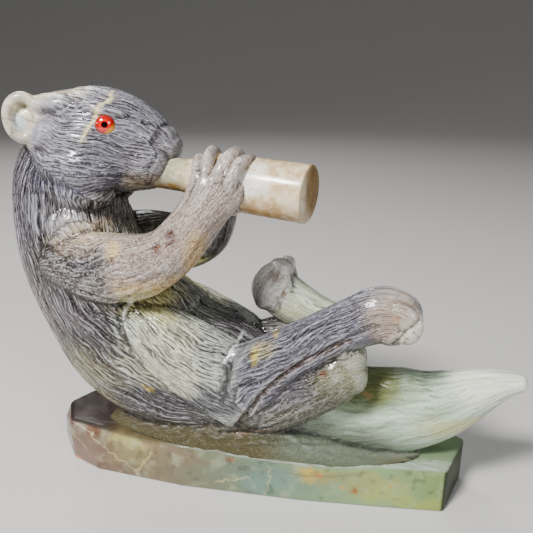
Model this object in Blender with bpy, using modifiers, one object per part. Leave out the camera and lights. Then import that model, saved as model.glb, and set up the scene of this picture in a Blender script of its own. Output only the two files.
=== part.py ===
"""Stone carving of an otter that leans back on its rump and drinks from a bottle.

The otter, the bottle and the slab under them are one block of amazonite. Two
round glass eyes are set into sockets in the head.

Metres, +Z up. The origin is on the underside of the slab, at its middle. The
otter faces +X, and its right side is towards -Y.
"""

import math

import bmesh
import bpy
import numpy as np
from mathutils import Matrix, Vector
from mathutils.bvhtree import BVHTree

MM = 0.001

# Driving sizes
figure_height = 100 * MM          # top of the slab to the crown of the head
slab_length = 125 * MM
slab_depth = 31 * MM
slab_thickness = 14 * MM
slab_edge_round = 0.8 * MM
bottle_length = 42.5 * MM         # from between the lips to the flat end
bottle_diameter = 14.8 * MM
bottle_neck_diameter = 9 * MM
bottle_rim_round = 0.5 * MM
eye_diameter = 5 * MM
eye_girdle = 1.6 * MM             # height of the straight edge of the glass
eye_dome = 1.4 * MM               # height of the domed front over that edge
eye_proud = 0.15 * MM             # how far the straight edge stands out of the stone
eye_clearance = 0.3 * MM          # between the glass and its socket, all round

# The pose and the carving are shares of the figure's height, in hundredths
SHARE = figure_height / 100
ACROSS_BODY = (0, 1, 0)
ALONG_BODY = (1, 0, 0)

# How finely the forms are made, worked and cut down
RING_POINTS = 28
STEPS_PER_SPAN = 6
DOME_RINGS = 4
CLAY_VOXEL = 0.7 * SHARE
SMOOTHING_PASSES = 4
LOCK_DEPTH = 0.6 * SHARE
GROOVE_FADE = 0.8
FIGURE_TRIANGLES = 7800
BOTTLE_SEGMENTS = 32
EYE_SEGMENTS = 20

MERGE = 0.001 * MM
SIDES = {"right": -1, "left": 1}

# Each arm from above the elbow to the wrist, and each hand on the bottle: how far along it the
# palm lies, and how far round from its top, in degrees, the palm lies and the finger tips end
ARM_BENDS = {
    -1: [(-27, 15, 54.2, 9, 6.3), (-18.6, 15.2, 58.2, 7.2, 6), (-12.8, 14.6, 64.2, 6.4, 5.6),
         (-8.4, 13.6, 70.4, 6.3, 4.8)],
    1: [(-26.5, 15, 52.8, 9, 6.3), (-19.6, 15.2, 55.8, 8, 6), (-15.9, 14.6, 61.6, 7, 5.6),
        (-14.2, 13.8, 67.5, 6.3, 4.8)],
}
HANDS = {-1: (21.3, 88, 0), 1: (15.5, 106, 58)}

# Where the bottle lies, in shares from the top of the slab under the middle
LIPS = Vector((-24.7, -1, 77.1))
BOTTLE_DIRECTION = Vector((41.9, -7, -3)).normalized()
NECK_IN_MOUTH = 5
SHOULDER_START = 6
SHOULDER_END = 20


def smooth_path(stations, steps=STEPS_PER_SPAN):
    """Rows of numbers joined by a smooth curve that passes through each of them."""
    rows = np.array(stations, dtype=float)
    rows = np.vstack([2 * rows[0] - rows[1], rows, 2 * rows[-1] - rows[-2]])
    path = []
    for before, start, end, after in zip(rows, rows[1:], rows[2:], rows[3:]):
        for step in range(steps):
            t = step / steps
            straight = (end - before) * t
            bend = (2 * before - 5 * start + 4 * end - after) * t ** 2
            twist = (3 * start - before - 3 * end + after) * t ** 3
            path.append(start + 0.5 * (straight + bend + twist))
    path.append(rows[-2])
    return np.array(path)


def unit(vectors):
    """Each row scaled to length one."""
    return vectors / np.linalg.norm(vectors, axis=-1, keepdims=True)


class Limb:
    """A rounded form with elliptical sections along a smooth spine.

    A station is x, y, z, half the height and half the width of the section
    there, all in shares. Widths are measured along the across direction.
    """

    def __init__(self, stations, across=ACROSS_BODY, dome=0.8, locks=0):
        path = smooth_path(stations)
        self.centres = path[:, :3]
        self.halves = path[:, 3:]
        self.along = unit(np.gradient(self.centres, axis=0))
        across = np.array(across, dtype=float)
        lean = (self.along @ across)[:, None] * self.along
        self.side = unit(across - lean)
        self.up = np.cross(self.along, self.side)
        self.run = np.append(0, np.cumsum(np.linalg.norm(np.diff(self.centres, axis=0), axis=1)))
        self.dome = dome
        self.locks = locks

    def ring(self, index, slide=0.0, shrink=1.0):
        angles = np.linspace(0, 2 * math.pi, RING_POINTS, endpoint=False)
        up, side = self.up[index], self.side[index]
        half_up, half_side = self.halves[index] * shrink
        centre = self.centres[index] + slide * self.along[index]
        return centre + (np.outer(np.cos(angles) * half_up, up) + np.outer(np.sin(angles) * half_side, side))

    def rings(self):
        """The sections from end to end, with a dome on each end."""
        last = len(self.centres) - 1
        first_dome, last_dome = [], []
        for step in range(1, DOME_RINGS):
            turn = step / DOME_RINGS * math.pi / 2
            for index, sign, dome in ((0, -1, first_dome), (last, 1, last_dome)):
                slide = sign * math.sin(turn) * self.dome * self.halves[index].mean()
                dome.append(self.ring(index, slide, math.cos(turn)))
        body = [self.ring(index) for index in range(last + 1)]
        return first_dome[::-1] + body + last_dome

    def add_to(self, clay):
        rings = [[clay.verts.new(point) for point in ring] for ring in self.rings()]
        faces = []
        for ring, following in zip(rings, rings[1:]):
            for k in range(RING_POINTS):
                n = (k + 1) % RING_POINTS
                faces.append(clay.faces.new((ring[k], ring[n], following[n], following[k])))
        for index, ring, sign in ((0, rings[0], -1), (-1, rings[-1], 1)):
            reach = sign * self.dome * self.halves[index].mean()
            tip = clay.verts.new(self.centres[index] + reach * self.along[index])
            for k in range(RING_POINTS):
                faces.append(clay.faces.new((ring[k], ring[(k + 1) % RING_POINTS], tip)))
        bmesh.ops.recalc_face_normals(clay, faces=faces)


def add_bump(clay, centre, halves, turn=(0, 0, 0)):
    """An egg-shaped lump with the given half sizes, turned by degrees about X, Y and Z."""
    place = Matrix.Translation(centre)
    for axis, degrees in zip("XYZ", turn):
        place = place @ Matrix.Rotation(math.radians(degrees), 4, axis)
    place = place @ Matrix.Diagonal((*halves, 1))
    bmesh.ops.create_uvsphere(clay, u_segments=24, v_segments=14, radius=1, matrix=place)


def figure_place():
    """From shares over the slab's top to metres over its underside."""
    return Matrix.Translation((0, 0, slab_thickness)) @ Matrix.Scale(SHARE, 4)


def bottle_point(distance, turn, radius):
    """A point beside the bottle's axis; turn 0 is above it and 90 degrees is on its left."""
    side = (Vector(ACROSS_BODY) - BOTTLE_DIRECTION * BOTTLE_DIRECTION.y).normalized()
    above = BOTTLE_DIRECTION.cross(side)
    angle = math.radians(turn)
    return LIPS + BOTTLE_DIRECTION * distance + radius * (above * math.cos(angle) + side * math.sin(angle))


def bottle_radius(distance):
    """The bottle's radius in shares, at a distance in shares from the lips."""
    neck = bottle_neck_diameter / 2 / SHARE
    body = bottle_diameter / 2 / SHARE
    t = (distance - SHOULDER_START) / (SHOULDER_END - SHOULDER_START)
    t = min(max(t, 0), 1)
    return neck + (body - neck) * (3 * t ** 2 - 2 * t ** 3)


def body_limbs():
    """Trunk, neck, head, jaw, muzzle and tail, which lie on the middle plane."""
    trunk = [
        (4, 0, 13, 14, 11),
        (-10, 0, 17, 18.5, 15.5),
        (-24, 0, 20, 22.5, 17),
        (-37, 0, 28.3, 23.8, 17.5),
        (-47.2, 0, 41, 20, 17),
        (-52.6, 0, 53, 18.6, 16),
        (-54.6, 0, 63, 17.6, 14),
        (-54.3, 0, 73, 16.4, 12.6),
        (-51, 0, 81, 14, 12),
    ]
    skull = [
        (-61, 0, 87.6, 10, 8.5),
        (-57, 0, 86.7, 11.8, 12),
        (-50, 0, 85.4, 13.8, 13.8),
        (-43, 0, 85.1, 14.4, 14.2),
        (-36.5, 0, 84.2, 13.4, 12.6),
        (-31, 0, 82.9, 11.6, 10.3),
        (-27, 0, 81.8, 9.6, 8.4),
    ]
    muzzle = [
        (-31, 0, 85, 7.4, 8.4),
        (-27, 0, 84, 6, 7),
        (-24, 0, 83.4, 5.2, 5.8),
        (-21.5, 0, 82.6, 3.9, 4.4),
    ]
    jaw = [(-42, 0, 78, 7, 11), (-34, 0, 77.2, 6, 9), (-28.5, 0, 76.6, 4.6, 7), (-26, 0, 76.6, 3.8, 6)]
    tail = [
        (-5, 1, 11, 13, 10),
        (12, 1, 11, 13.2, 11.5),
        (25, 1, 10.6, 12.3, 11),
        (36, 1, 10.9, 12.6, 10.2),
        (45, 1, 12.3, 12.4, 9),
        (51.5, 1, 14.2, 10.7, 8),
        (57.5, 1, 17.2, 8.8, 7),
        (63.5, 1, 20.8, 6.4, 5.8),
        (69, 1, 23.4, 4.2, 4.4),
        (73.5, 1, 24.6, 2.5, 3),
    ]
    return [
        Limb(trunk, dome=0.5, locks=22),
        Limb(skull, dome=0.25, locks=18),
        Limb(muzzle, dome=0.4),
        Limb(jaw, dome=0.3, locks=12),
        Limb(tail, dome=0.7),
    ]


def arm(side):
    """Shoulder to palm; the palm lies against the bottle on its own side."""
    palm_at, palm_turn, _ = HANDS[side]
    palm = bottle_point(palm_at, side * palm_turn, bottle_radius(palm_at) + 0.9)
    knuckles = bottle_point(palm_at + 0.4, side * (palm_turn - 16), bottle_radius(palm_at) + 0.1)
    upper_arm = [(-56.5, 9, 51, 6.5, 5), (-48, 12, 51.8, 9.6, 6.3), (-37, 14, 52.4, 10, 6.6)]
    stations = [(x, side * y, z, half_up, half_side) for x, y, z, half_up, half_side in upper_arm + ARM_BENDS[side]]
    stations += [(*palm, 7.4, 3), (*knuckles, 6.6, 2)]
    return Limb(stations, dome=0.3, locks=8)


def fingers(side):
    """Four fingers that curl over the bottle: where each lies along it at root, middle and tip."""
    _, palm_turn, tip_turn = HANDS[side]
    lying = [
        (15.4, 14.2, 12.8, -0.9, 1.5),
        (18.4, 17.2, 15.9, 0.7, 1.7),
        (21.6, 22.2, 22.3, 0.5, 2.1),
        (25, 26, 26.7, -0.9, 1.7),
    ]
    for root, middle, tip, lift, half_wide in lying:
        stations = []
        for at, share, rise in ((root, 0.07, 1.5), (middle, 0.45, 1.3), (tip, 0.83, lift), (tip, 1, lift - 0.8)):
            turn = palm_turn + (tip_turn - palm_turn) * share
            point = bottle_point(at, side * turn, bottle_radius(at) + rise)
            stations.append((*point, 2, half_wide))
        yield Limb(stations, across=ALONG_BODY)


def right_leg():
    """The stretched leg: a shin that ends in the forefoot, over a calf that ends in the heel."""
    shin = [
        (0, -11.3, 20, 12.5, 6.6),
        (5, -11.5, 24, 11, 6.6),
        (12, -11.5, 30, 8.5, 6.5),
        (22, -11.5, 37.5, 7, 6),
        (30, -11, 42.4, 6.8, 5.8),
        (36, -10.5, 45, 7.4, 6),
        (40, -10, 45, 6.8, 5.8),
        (42.2, -10, 44.2, 5.6, 5),
    ]
    calf = [
        (1, -9.5, 11, 8.5, 6),
        (9, -11.3, 15.2, 8, 6.3),
        (18.5, -12, 22.2, 8, 6.4),
        (26, -12, 27.2, 7.4, 6.1),
        (29.4, -11.7, 28.8, 6.2, 5.3),
    ]
    return [Limb(shin, dome=0.4, locks=8), Limb(calf, locks=8)]


def left_leg():
    """The bent leg: thigh to the knee, shin back up to the foot, which stands on its heel."""
    thigh = [(-6, 9, 16, 13, 7), (6, 10.5, 22, 10.5, 6.8), (16, 11, 26, 8.5, 6.4), (25, 11, 30, 7, 6)]
    shin = [(25, 11, 31, 6, 6), (17, 11, 34.2, 6, 5.6), (10, 11, 37.4, 7, 5.8), (5, 11, 40.5, 7.4, 6)]
    foot = [(4.2, 11, 38, 6.6, 6.2), (4.0, 11, 41.5, 7.2, 6.4), (4.8, 11, 45, 6, 6), (6, 11, 48, 3.8, 5)]
    return [
        Limb(thigh, dome=0.4, locks=8),
        Limb(shin, dome=0.4, locks=8),
        Limb(foot, dome=0.6),
    ]


def add_ear(clay, side):
    """A round cup: a thin disc with a raised rim and a ball in it."""
    centre = Vector((-59.2, side * 10.5, 91.4))
    facing = Vector((0.35, side * 0.93, 0.05)).normalized()
    upright = Vector((0, 0, 1))
    level = upright.cross(facing).normalized()
    tall, wide, rim = 5.2, 3.8, 1.4
    rows = []
    for k in range(9):
        angle = math.radians(-70 + 40 * k)
        point = centre + upright * math.cos(angle) * tall + level * side * math.sin(angle) * wide
        rows.append((*point, rim, rim * 1.2))
    Limb(rows, across=facing).add_to(clay)
    lean = math.degrees(math.atan2(-facing.x, facing.y * side)) * side
    add_bump(clay, centre - facing * 1.2, (5, 2.4, 6), (0, 0, lean))
    add_bump(clay, centre + Vector((1, 0, 0.3)), (2.5, 2, 2.8), (0, 0, lean))


def add_face(clay, side):
    """Cheek, brow, root of the ear, lip and nose pad of one side."""
    add_bump(clay, (-46, side * 7.4, 79.6), (13, 8.4, 7.8), (0, 9, 0))
    add_bump(clay, (-36.5, side * 9, 93.8), (6.5, 2.6, 1.7), (0, 12, -side * 14))
    add_bump(clay, (-55, side * 8, 95.3), (6, 4, 2.8), (0, -4, 0))
    add_bump(clay, (-27, side * 5.6, 81.6), (5, 3.8, 5.6), (0, 0, -side * 12))
    add_bump(clay, (-21.2, side * 1.5, 83.8), (1.8, 2.5, 2.7), (0, 20, 0))


def add_toes(clay):
    """The curled toes of the right foot and the raised ones of the left foot."""
    for number in range(4):
        across = -14.2 + 2.9 * number
        Limb([(39.5, across, 47, 3.4, 1.7), (43, across, 45.4, 3.2, 1.8), (43.6, across, 42.4, 2.6, 1.7),
              (41.4, across, 40.2, 2.2, 1.5)]).add_to(clay)
        across = 6.8 + 2.8 * number
        Limb([(4.5, across, 45, 3, 1.6), (6.8, across, 48.6, 2.4, 1.6), (9.4, across, 48.6, 2, 1.5),
              (10.4, across, 45.8, 1.6, 1.4)]).add_to(clay)


def lock_grooves(points, limbs):
    """How deep the carver's grooves between the locks of fur are at each point, from 0 to 1.

    They run along each limb, break off in strokes, and fade where two limbs meet.
    """
    nearest = np.full(len(points), np.inf)
    next_nearest = nearest
    depth = np.zeros(len(points))
    for limb in limbs:
        gap = points[:, None, :] - limb.centres[None, ::2, :]
        index = 2 * np.argmin((gap ** 2).sum(axis=2), axis=1)
        offset = points - limb.centres[index]
        half_up, half_side = limb.halves[index].T
        up = (offset * limb.up[index]).sum(axis=1) / half_up
        side = (offset * limb.side[index]).sum(axis=1) / half_side
        distance = np.abs(np.hypot(up, side) - 1) * np.minimum(half_up, half_side)
        angle = np.arctan2(side, up)
        run = limb.run[index] + (offset * limb.along[index]).sum(axis=1)
        wave = 1.1 * np.sin(0.13 * run + 2 * angle) + 0.6 * np.sin(0.31 * run - 3 * angle)
        turns = (limb.locks * angle + wave) / (2 * math.pi)
        strand = np.round(turns)
        groove = np.clip(np.cos(2 * math.pi * (turns - strand)), 0, 1) ** 3
        stroke = np.clip(0.55 + 0.75 * np.sin(0.17 * run + 2.4 * strand), 0, 1)
        closer = distance < nearest
        depth = np.where(closer, groove * stroke * (limb.locks > 0), depth)
        next_nearest = np.minimum(next_nearest, np.maximum(nearest, distance))
        nearest = np.minimum(nearest, distance)
    return depth * np.clip((next_nearest - nearest) / GROOVE_FADE, 0, 1)


def new_object(name, mesh, collection):
    thing = bpy.data.objects.new(name, mesh)
    collection.objects.link(thing)
    return thing


def evaluated_mesh(thing):
    """The object's mesh with its modifiers applied."""
    graph = bpy.context.evaluated_depsgraph_get()
    graph.update()
    return bpy.data.meshes.new_from_object(thing.evaluated_get(graph))


def carve_locks(mesh, limbs):
    count = len(mesh.vertices)
    points = np.empty(count * 3)
    normals = np.empty(count * 3)
    mesh.vertices.foreach_get("co", points)
    mesh.vertices.foreach_get("normal", normals)
    points = points.reshape(-1, 3)
    shares = (points - np.array(figure_place().translation)) / SHARE
    depth = LOCK_DEPTH * lock_grooves(shares, limbs)
    points -= normals.reshape(-1, 3) * depth[:, None]
    mesh.vertices.foreach_set("co", points.ravel())
    mesh.update()


def model_figure(collection):
    """The otter alone: the forms pressed together, smoothed, grooved and cut down."""
    clay = bmesh.new()
    limbs = body_limbs() + right_leg() + left_leg() + [arm(side) for side in SIDES.values()]
    for limb in limbs:
        limb.add_to(clay)
    for side in SIDES.values():
        for finger in fingers(side):
            finger.add_to(clay)
        add_ear(clay, side)
        add_face(clay, side)
    add_toes(clay)
    bmesh.ops.transform(clay, matrix=figure_place(), verts=clay.verts)
    mesh = bpy.data.meshes.new("figure")
    clay.to_mesh(mesh)
    clay.free()
    figure = new_object("figure_clay", mesh, collection)
    remesh = figure.modifiers.new("press_together", "REMESH")
    remesh.mode = "VOXEL"
    remesh.voxel_size = CLAY_VOXEL
    smooth = figure.modifiers.new("smooth", "SMOOTH")
    smooth.factor = 0.5
    smooth.iterations = SMOOTHING_PASSES
    mesh = evaluated_mesh(figure)
    figure.modifiers.clear()
    figure.data = mesh
    carve_locks(mesh, limbs)
    thin = figure.modifiers.new("thin_out", "DECIMATE")
    thin.ratio = FIGURE_TRIANGLES / (2 * len(mesh.polygons))
    figure.data = evaluated_mesh(figure)
    figure.modifiers.clear()
    return figure


def turned(name, profile, collection, segments):
    """A turned solid about Z; the profile is (radius, height) from top to bottom."""
    mesh = bpy.data.meshes.new(name)
    points = [(radius, 0, height) for radius, height in profile]
    mesh.from_pydata(points, [(k, k + 1) for k in range(len(points) - 1)], [])
    thing = new_object(name, mesh, collection)
    screw = thing.modifiers.new("turn", "SCREW")
    screw.steps = segments
    screw.render_steps = segments
    screw.use_merge_vertices = True
    screw.merge_threshold = MERGE
    screw.use_smooth_shade = True
    return thing


def make_bottle(collection):
    """Neck, shoulder and body, with a flat end; it lies from the lips out through the hands."""
    end = bottle_length / SHARE
    profile = [(0, end), (bottle_diameter / 2 / SHARE - bottle_rim_round / SHARE, end)]
    profile.append((bottle_diameter / 2 / SHARE, end - bottle_rim_round / SHARE))
    shoulder_steps = 7
    for step in range(shoulder_steps, -1, -1):
        at = SHOULDER_START + (SHOULDER_END - SHOULDER_START) * step / shoulder_steps
        profile.append((bottle_radius(at), at))
    profile += [(bottle_radius(0), -NECK_IN_MOUTH), (0, -NECK_IN_MOUTH)]
    bottle = turned("bottle", profile, collection, BOTTLE_SEGMENTS)
    turn = Vector((0, 0, 1)).rotation_difference(BOTTLE_DIRECTION).to_matrix().to_4x4()
    bottle.matrix_world = figure_place() @ Matrix.Translation(LIPS) @ turn
    return bottle


def make_slab(collection):
    """A thin slab whose plan bows in at its ends; points are shares of its half length and depth."""
    outline = [
        (-1, -0.1), (-0.975, -0.48), (-0.9, -0.72), (-0.74, -0.94), (-0.29, -1), (0.27, -0.84),
        (0.59, -0.68), (0.91, -0.5), (1, 0.55), (0.93, 0.72), (0.48, 0.93), (-0.16, 1),
        (-0.72, 0.87), (-0.93, 0.52),
    ]
    plan = bpy.data.curves.new("slab", "CURVE")
    plan.dimensions = "2D"
    plan.fill_mode = "BOTH"
    plan.extrude = slab_thickness / 2
    edge = plan.splines.new("POLY")
    edge.use_cyclic_u = True
    edge.points.add(len(outline) - 1)
    for point, (x, y) in zip(edge.points, outline):
        point.co = (x * slab_length / 2, y * slab_depth / 2, 0, 1)
    drawn = new_object("slab_plan", plan, collection)
    mesh = evaluated_mesh(drawn)
    bpy.data.objects.remove(drawn)
    work = bmesh.new()
    work.from_mesh(mesh)
    bmesh.ops.remove_doubles(work, verts=work.verts, dist=MERGE)
    bmesh.ops.dissolve_limit(work, angle_limit=math.radians(1), verts=work.verts, edges=work.edges)
    work.to_mesh(mesh)
    work.free()
    slab = new_object("slab", mesh, collection)
    slab.location.z = slab_thickness / 2
    rounding = slab.modifiers.new("round_edges", "BEVEL")
    rounding.width = slab_edge_round
    rounding.segments = 2
    rounding.limit_method = "ANGLE"
    return slab


def eye_profile(clearance=0.0):
    """Half section of the glass, or of its socket, from the top of the dome down; back at z = 0."""
    radius = eye_diameter / 2 + clearance
    steps = 5
    profile = []
    for step in range(steps + 1):
        angle = step / steps * math.pi / 2
        profile.append((radius * math.sin(angle), eye_girdle + (eye_dome + clearance) * math.cos(angle)))
    profile += [(radius, -clearance), (0, -clearance)]
    return profile


def eye_places(figure):
    """Where the glass sits in each side of the head: on the stone, facing out and forward."""
    tree = BVHTree.FromObject(figure, bpy.context.evaluated_depsgraph_get())
    for name, side in SIDES.items():
        facing = Vector((0.36, side * 0.92, 0.14)).normalized()
        aim = figure_place() @ Vector((-35.1, side * 11.4, 90.2))
        found = tree.ray_cast(aim + facing * figure_height, -facing)[0]
        back = found + facing * (eye_proud - eye_girdle)
        turn = facing.to_track_quat("Z", "Y").to_matrix().to_4x4()
        yield name, Matrix.Translation(back) @ turn


def outer_skin(mesh):
    """The mesh without the small shells that joined forms close off inside it."""
    work = bmesh.new()
    work.from_mesh(mesh)
    unseen = set(work.verts)
    shells = []
    while unseen:
        shell = {unseen.pop()}
        edge = list(shell)
        while edge:
            near = {link.other_vert(vert) for vert in edge for link in vert.link_edges}
            edge = list(near - shell)
            shell |= near
        unseen -= shell
        shells.append(shell)
    outer = max(shells, key=len)
    bmesh.ops.delete(work, geom=[vert for vert in work.verts if vert not in outer], context="VERTS")
    work.to_mesh(mesh)
    work.free()
    return mesh


def mark_as_cutter(thing):
    thing.hide_render = True
    thing.display_type = "WIRE"


def join_or_cut(target, tool, operation):
    mark_as_cutter(tool)
    step = target.modifiers.new(operation.lower() + "_" + tool.name, "BOOLEAN")
    step.operation = operation
    step.object = tool
    step.solver = "EXACT"


def paint(thing, colour, roughness, metallic=0.0):
    """A material of the thing's own name."""
    material = bpy.data.materials.new(thing.name)
    material.use_nodes = True
    shader = material.node_tree.nodes["Principled BSDF"]
    shader.inputs["Base Color"].default_value = (*colour, 1)
    shader.inputs["Roughness"].default_value = roughness
    shader.inputs["Metallic"].default_value = metallic
    thing.data.materials.clear()
    thing.data.materials.append(material)


def build():
    for thing in list(bpy.data.objects):
        bpy.data.objects.remove(thing)
    parts = bpy.data.collections.new("otter_with_bottle")
    tools = bpy.data.collections.new("cutters")
    for collection in (parts, tools):
        bpy.context.scene.collection.children.link(collection)

    figure = model_figure(tools)
    bottle = make_bottle(tools)
    slab = make_slab(tools)
    carving = new_object("otter_carving", figure.data, parts)
    bpy.data.objects.remove(figure)
    for piece in (bottle, slab):
        join_or_cut(carving, piece, "UNION")
    carving.data = outer_skin(evaluated_mesh(carving))
    carving.modifiers.clear()
    for name, place in list(eye_places(carving)):
        eye = turned("eye_" + name, eye_profile(), parts, EYE_SEGMENTS)
        eye.matrix_world = place
        socket = turned("socket_" + name, eye_profile(eye_clearance), tools, EYE_SEGMENTS)
        socket.matrix_world = place
        join_or_cut(carving, socket, "DIFFERENCE")
        paint(eye, (0.62, 0.02, 0.02), 0.05)
    carving.data.shade_smooth()
    carving.data.set_sharp_from_angle(angle=math.radians(50))
    paint(carving, (0.36, 0.38, 0.34), 0.35)


build()
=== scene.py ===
import math

import bmesh
import bpy
import numpy as np
from mathutils import Matrix, Vector, noise


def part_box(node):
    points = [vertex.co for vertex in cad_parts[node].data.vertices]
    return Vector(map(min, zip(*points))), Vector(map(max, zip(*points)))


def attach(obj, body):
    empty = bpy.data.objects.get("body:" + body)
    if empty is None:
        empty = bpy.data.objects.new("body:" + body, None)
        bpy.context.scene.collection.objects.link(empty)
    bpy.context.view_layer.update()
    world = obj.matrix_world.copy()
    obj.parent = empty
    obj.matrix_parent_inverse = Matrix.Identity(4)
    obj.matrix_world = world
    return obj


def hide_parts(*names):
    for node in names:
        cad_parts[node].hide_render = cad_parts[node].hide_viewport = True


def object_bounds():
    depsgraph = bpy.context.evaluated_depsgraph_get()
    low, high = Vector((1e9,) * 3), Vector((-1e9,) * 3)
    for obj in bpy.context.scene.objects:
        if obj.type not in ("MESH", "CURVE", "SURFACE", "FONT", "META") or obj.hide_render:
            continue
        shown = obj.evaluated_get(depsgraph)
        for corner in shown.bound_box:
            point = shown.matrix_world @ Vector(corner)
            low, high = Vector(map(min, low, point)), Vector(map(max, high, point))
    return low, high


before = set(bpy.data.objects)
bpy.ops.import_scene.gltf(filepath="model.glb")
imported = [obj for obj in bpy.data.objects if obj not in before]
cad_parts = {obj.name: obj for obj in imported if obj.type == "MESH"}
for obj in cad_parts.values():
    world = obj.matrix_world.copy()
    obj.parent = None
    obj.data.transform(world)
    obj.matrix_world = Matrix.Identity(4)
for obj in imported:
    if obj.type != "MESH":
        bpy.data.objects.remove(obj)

MM = 0.001
cad_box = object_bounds()

# Sizes of the carving, as in its solids
figure_height = 100 * MM
slab_length = 125 * MM
slab_depth = 31 * MM
slab_thickness = 14 * MM
slab_edge_round = 0.8 * MM
bottle_length = 42.5 * MM
bottle_diameter = 14.8 * MM
bottle_neck_diameter = 9 * MM
bottle_rim_round = 0.5 * MM
eye_diameter = 5 * MM
eye_girdle = 1.6 * MM
eye_dome = 1.4 * MM
socket_gap = 0.12 * MM

# The pose and the carving are shares of the figure's height, in hundredths
SHARE = figure_height / 100
ACROSS_BODY = (0, 1, 0)
ALONG_BODY = (1, 0, 0)

# How finely the stone is worked
RING_POINTS = 40
STEPS_PER_SPAN = 8
DOME_RINGS = 6
EGG_RINGS = 20
CLAY_VOXEL = 0.31 * SHARE
SMOOTHING_PASSES = 6
SHOULDER_STEPS = 24
BOTTLE_SEGMENTS = 96
EYE_SEGMENTS = 48
FIGURE_TRIANGLES = 184000
RING_ANGLES = np.linspace(0, 2 * math.pi, RING_POINTS, endpoint=False)
# Below this height in shares the figure flows out into a skirt, in this many passes of smoothing
SKIRT_TOP = 14
SKIRT_PASSES = 40
# How far the figure keeps inside the walls of the solids' box
BOX_MARGIN = 0.02 * MM
# Colours are this much stronger than they look in the light of the studio
VIVID = 1.3
# Any fixed number above 0 makes the drift of the clouds the same in every run
DRIFT_SEED = 1

SIDES = {"right": -1, "left": 1}

# Either arm from the back to above the elbow, and each arm from there to its wrist
UPPER_ARM = [(-60, 8.6, 49.4, 4, 4.2), (-54, 11, 51, 7, 5.4), (-47, 12.4, 52.4, 9.2, 6.3),
             (-37, 14, 52.6, 10, 6.6)]
ARM_BENDS = {
    -1: [(-27, 15, 54.2, 9, 6.3), (-18.6, 15.2, 58.2, 7.2, 6), (-12.8, 14.6, 64.2, 6.4, 5.6),
         (-8.4, 13.6, 70.4, 6.3, 4.8)],
    1: [(-26.5, 15, 52.8, 9, 6.3), (-19.6, 15.2, 55.8, 8, 6), (-15.9, 14.6, 61.6, 7, 5.6),
        (-14.2, 13.8, 67.5, 6.3, 4.8)],
}
# Each hand's place along the bottle, and the turns of its palm and finger tips from the top, in degrees
HANDS = {-1: (21.3, 88, 0), 1: (15.5, 106, 58)}

# Where the lips hold the bottle, and along it from there the end of the neck and the run of the shoulder
LIPS = Vector((-24.7, -1, 77.1))
BOTTLE_DIRECTION = Vector((41.9, -7, -3)).normalized()
NECK_IN_MOUTH = 5
SHOULDER_START = 6
SHOULDER_END = 20


def smooth_path(stations, steps=STEPS_PER_SPAN):
    """Rows of numbers joined by a smooth curve that passes through each of them."""
    rows = np.array(stations, dtype=float)
    rows = np.vstack([2 * rows[0] - rows[1], rows, 2 * rows[-1] - rows[-2]])
    path = []
    for before, start, end, after in zip(rows, rows[1:], rows[2:], rows[3:]):
        for step in range(steps):
            t = step / steps
            straight = (end - before) * t
            bend = (2 * before - 5 * start + 4 * end - after) * t ** 2
            twist = (3 * start - before - 3 * end + after) * t ** 3
            path.append(start + 0.5 * (straight + bend + twist))
    path.append(rows[-2])
    return np.array(path)


def unit(vectors):
    """Each row scaled to length one."""
    return vectors / np.linalg.norm(vectors, axis=-1, keepdims=True)


def skin_rings(clay, rings, tips):
    """A closed skin over rings of points, with a tip beyond each end."""
    rings = [[clay.verts.new(point) for point in ring] for ring in rings]
    for ring, following in zip(rings, rings[1:]):
        for k in range(RING_POINTS):
            n = (k + 1) % RING_POINTS
            clay.faces.new((ring[k], ring[n], following[n], following[k]))
    for ring, point in zip((rings[0], rings[-1]), tips):
        tip = clay.verts.new(point)
        for k in range(RING_POINTS):
            clay.faces.new((ring[k], ring[(k + 1) % RING_POINTS], tip))


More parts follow.
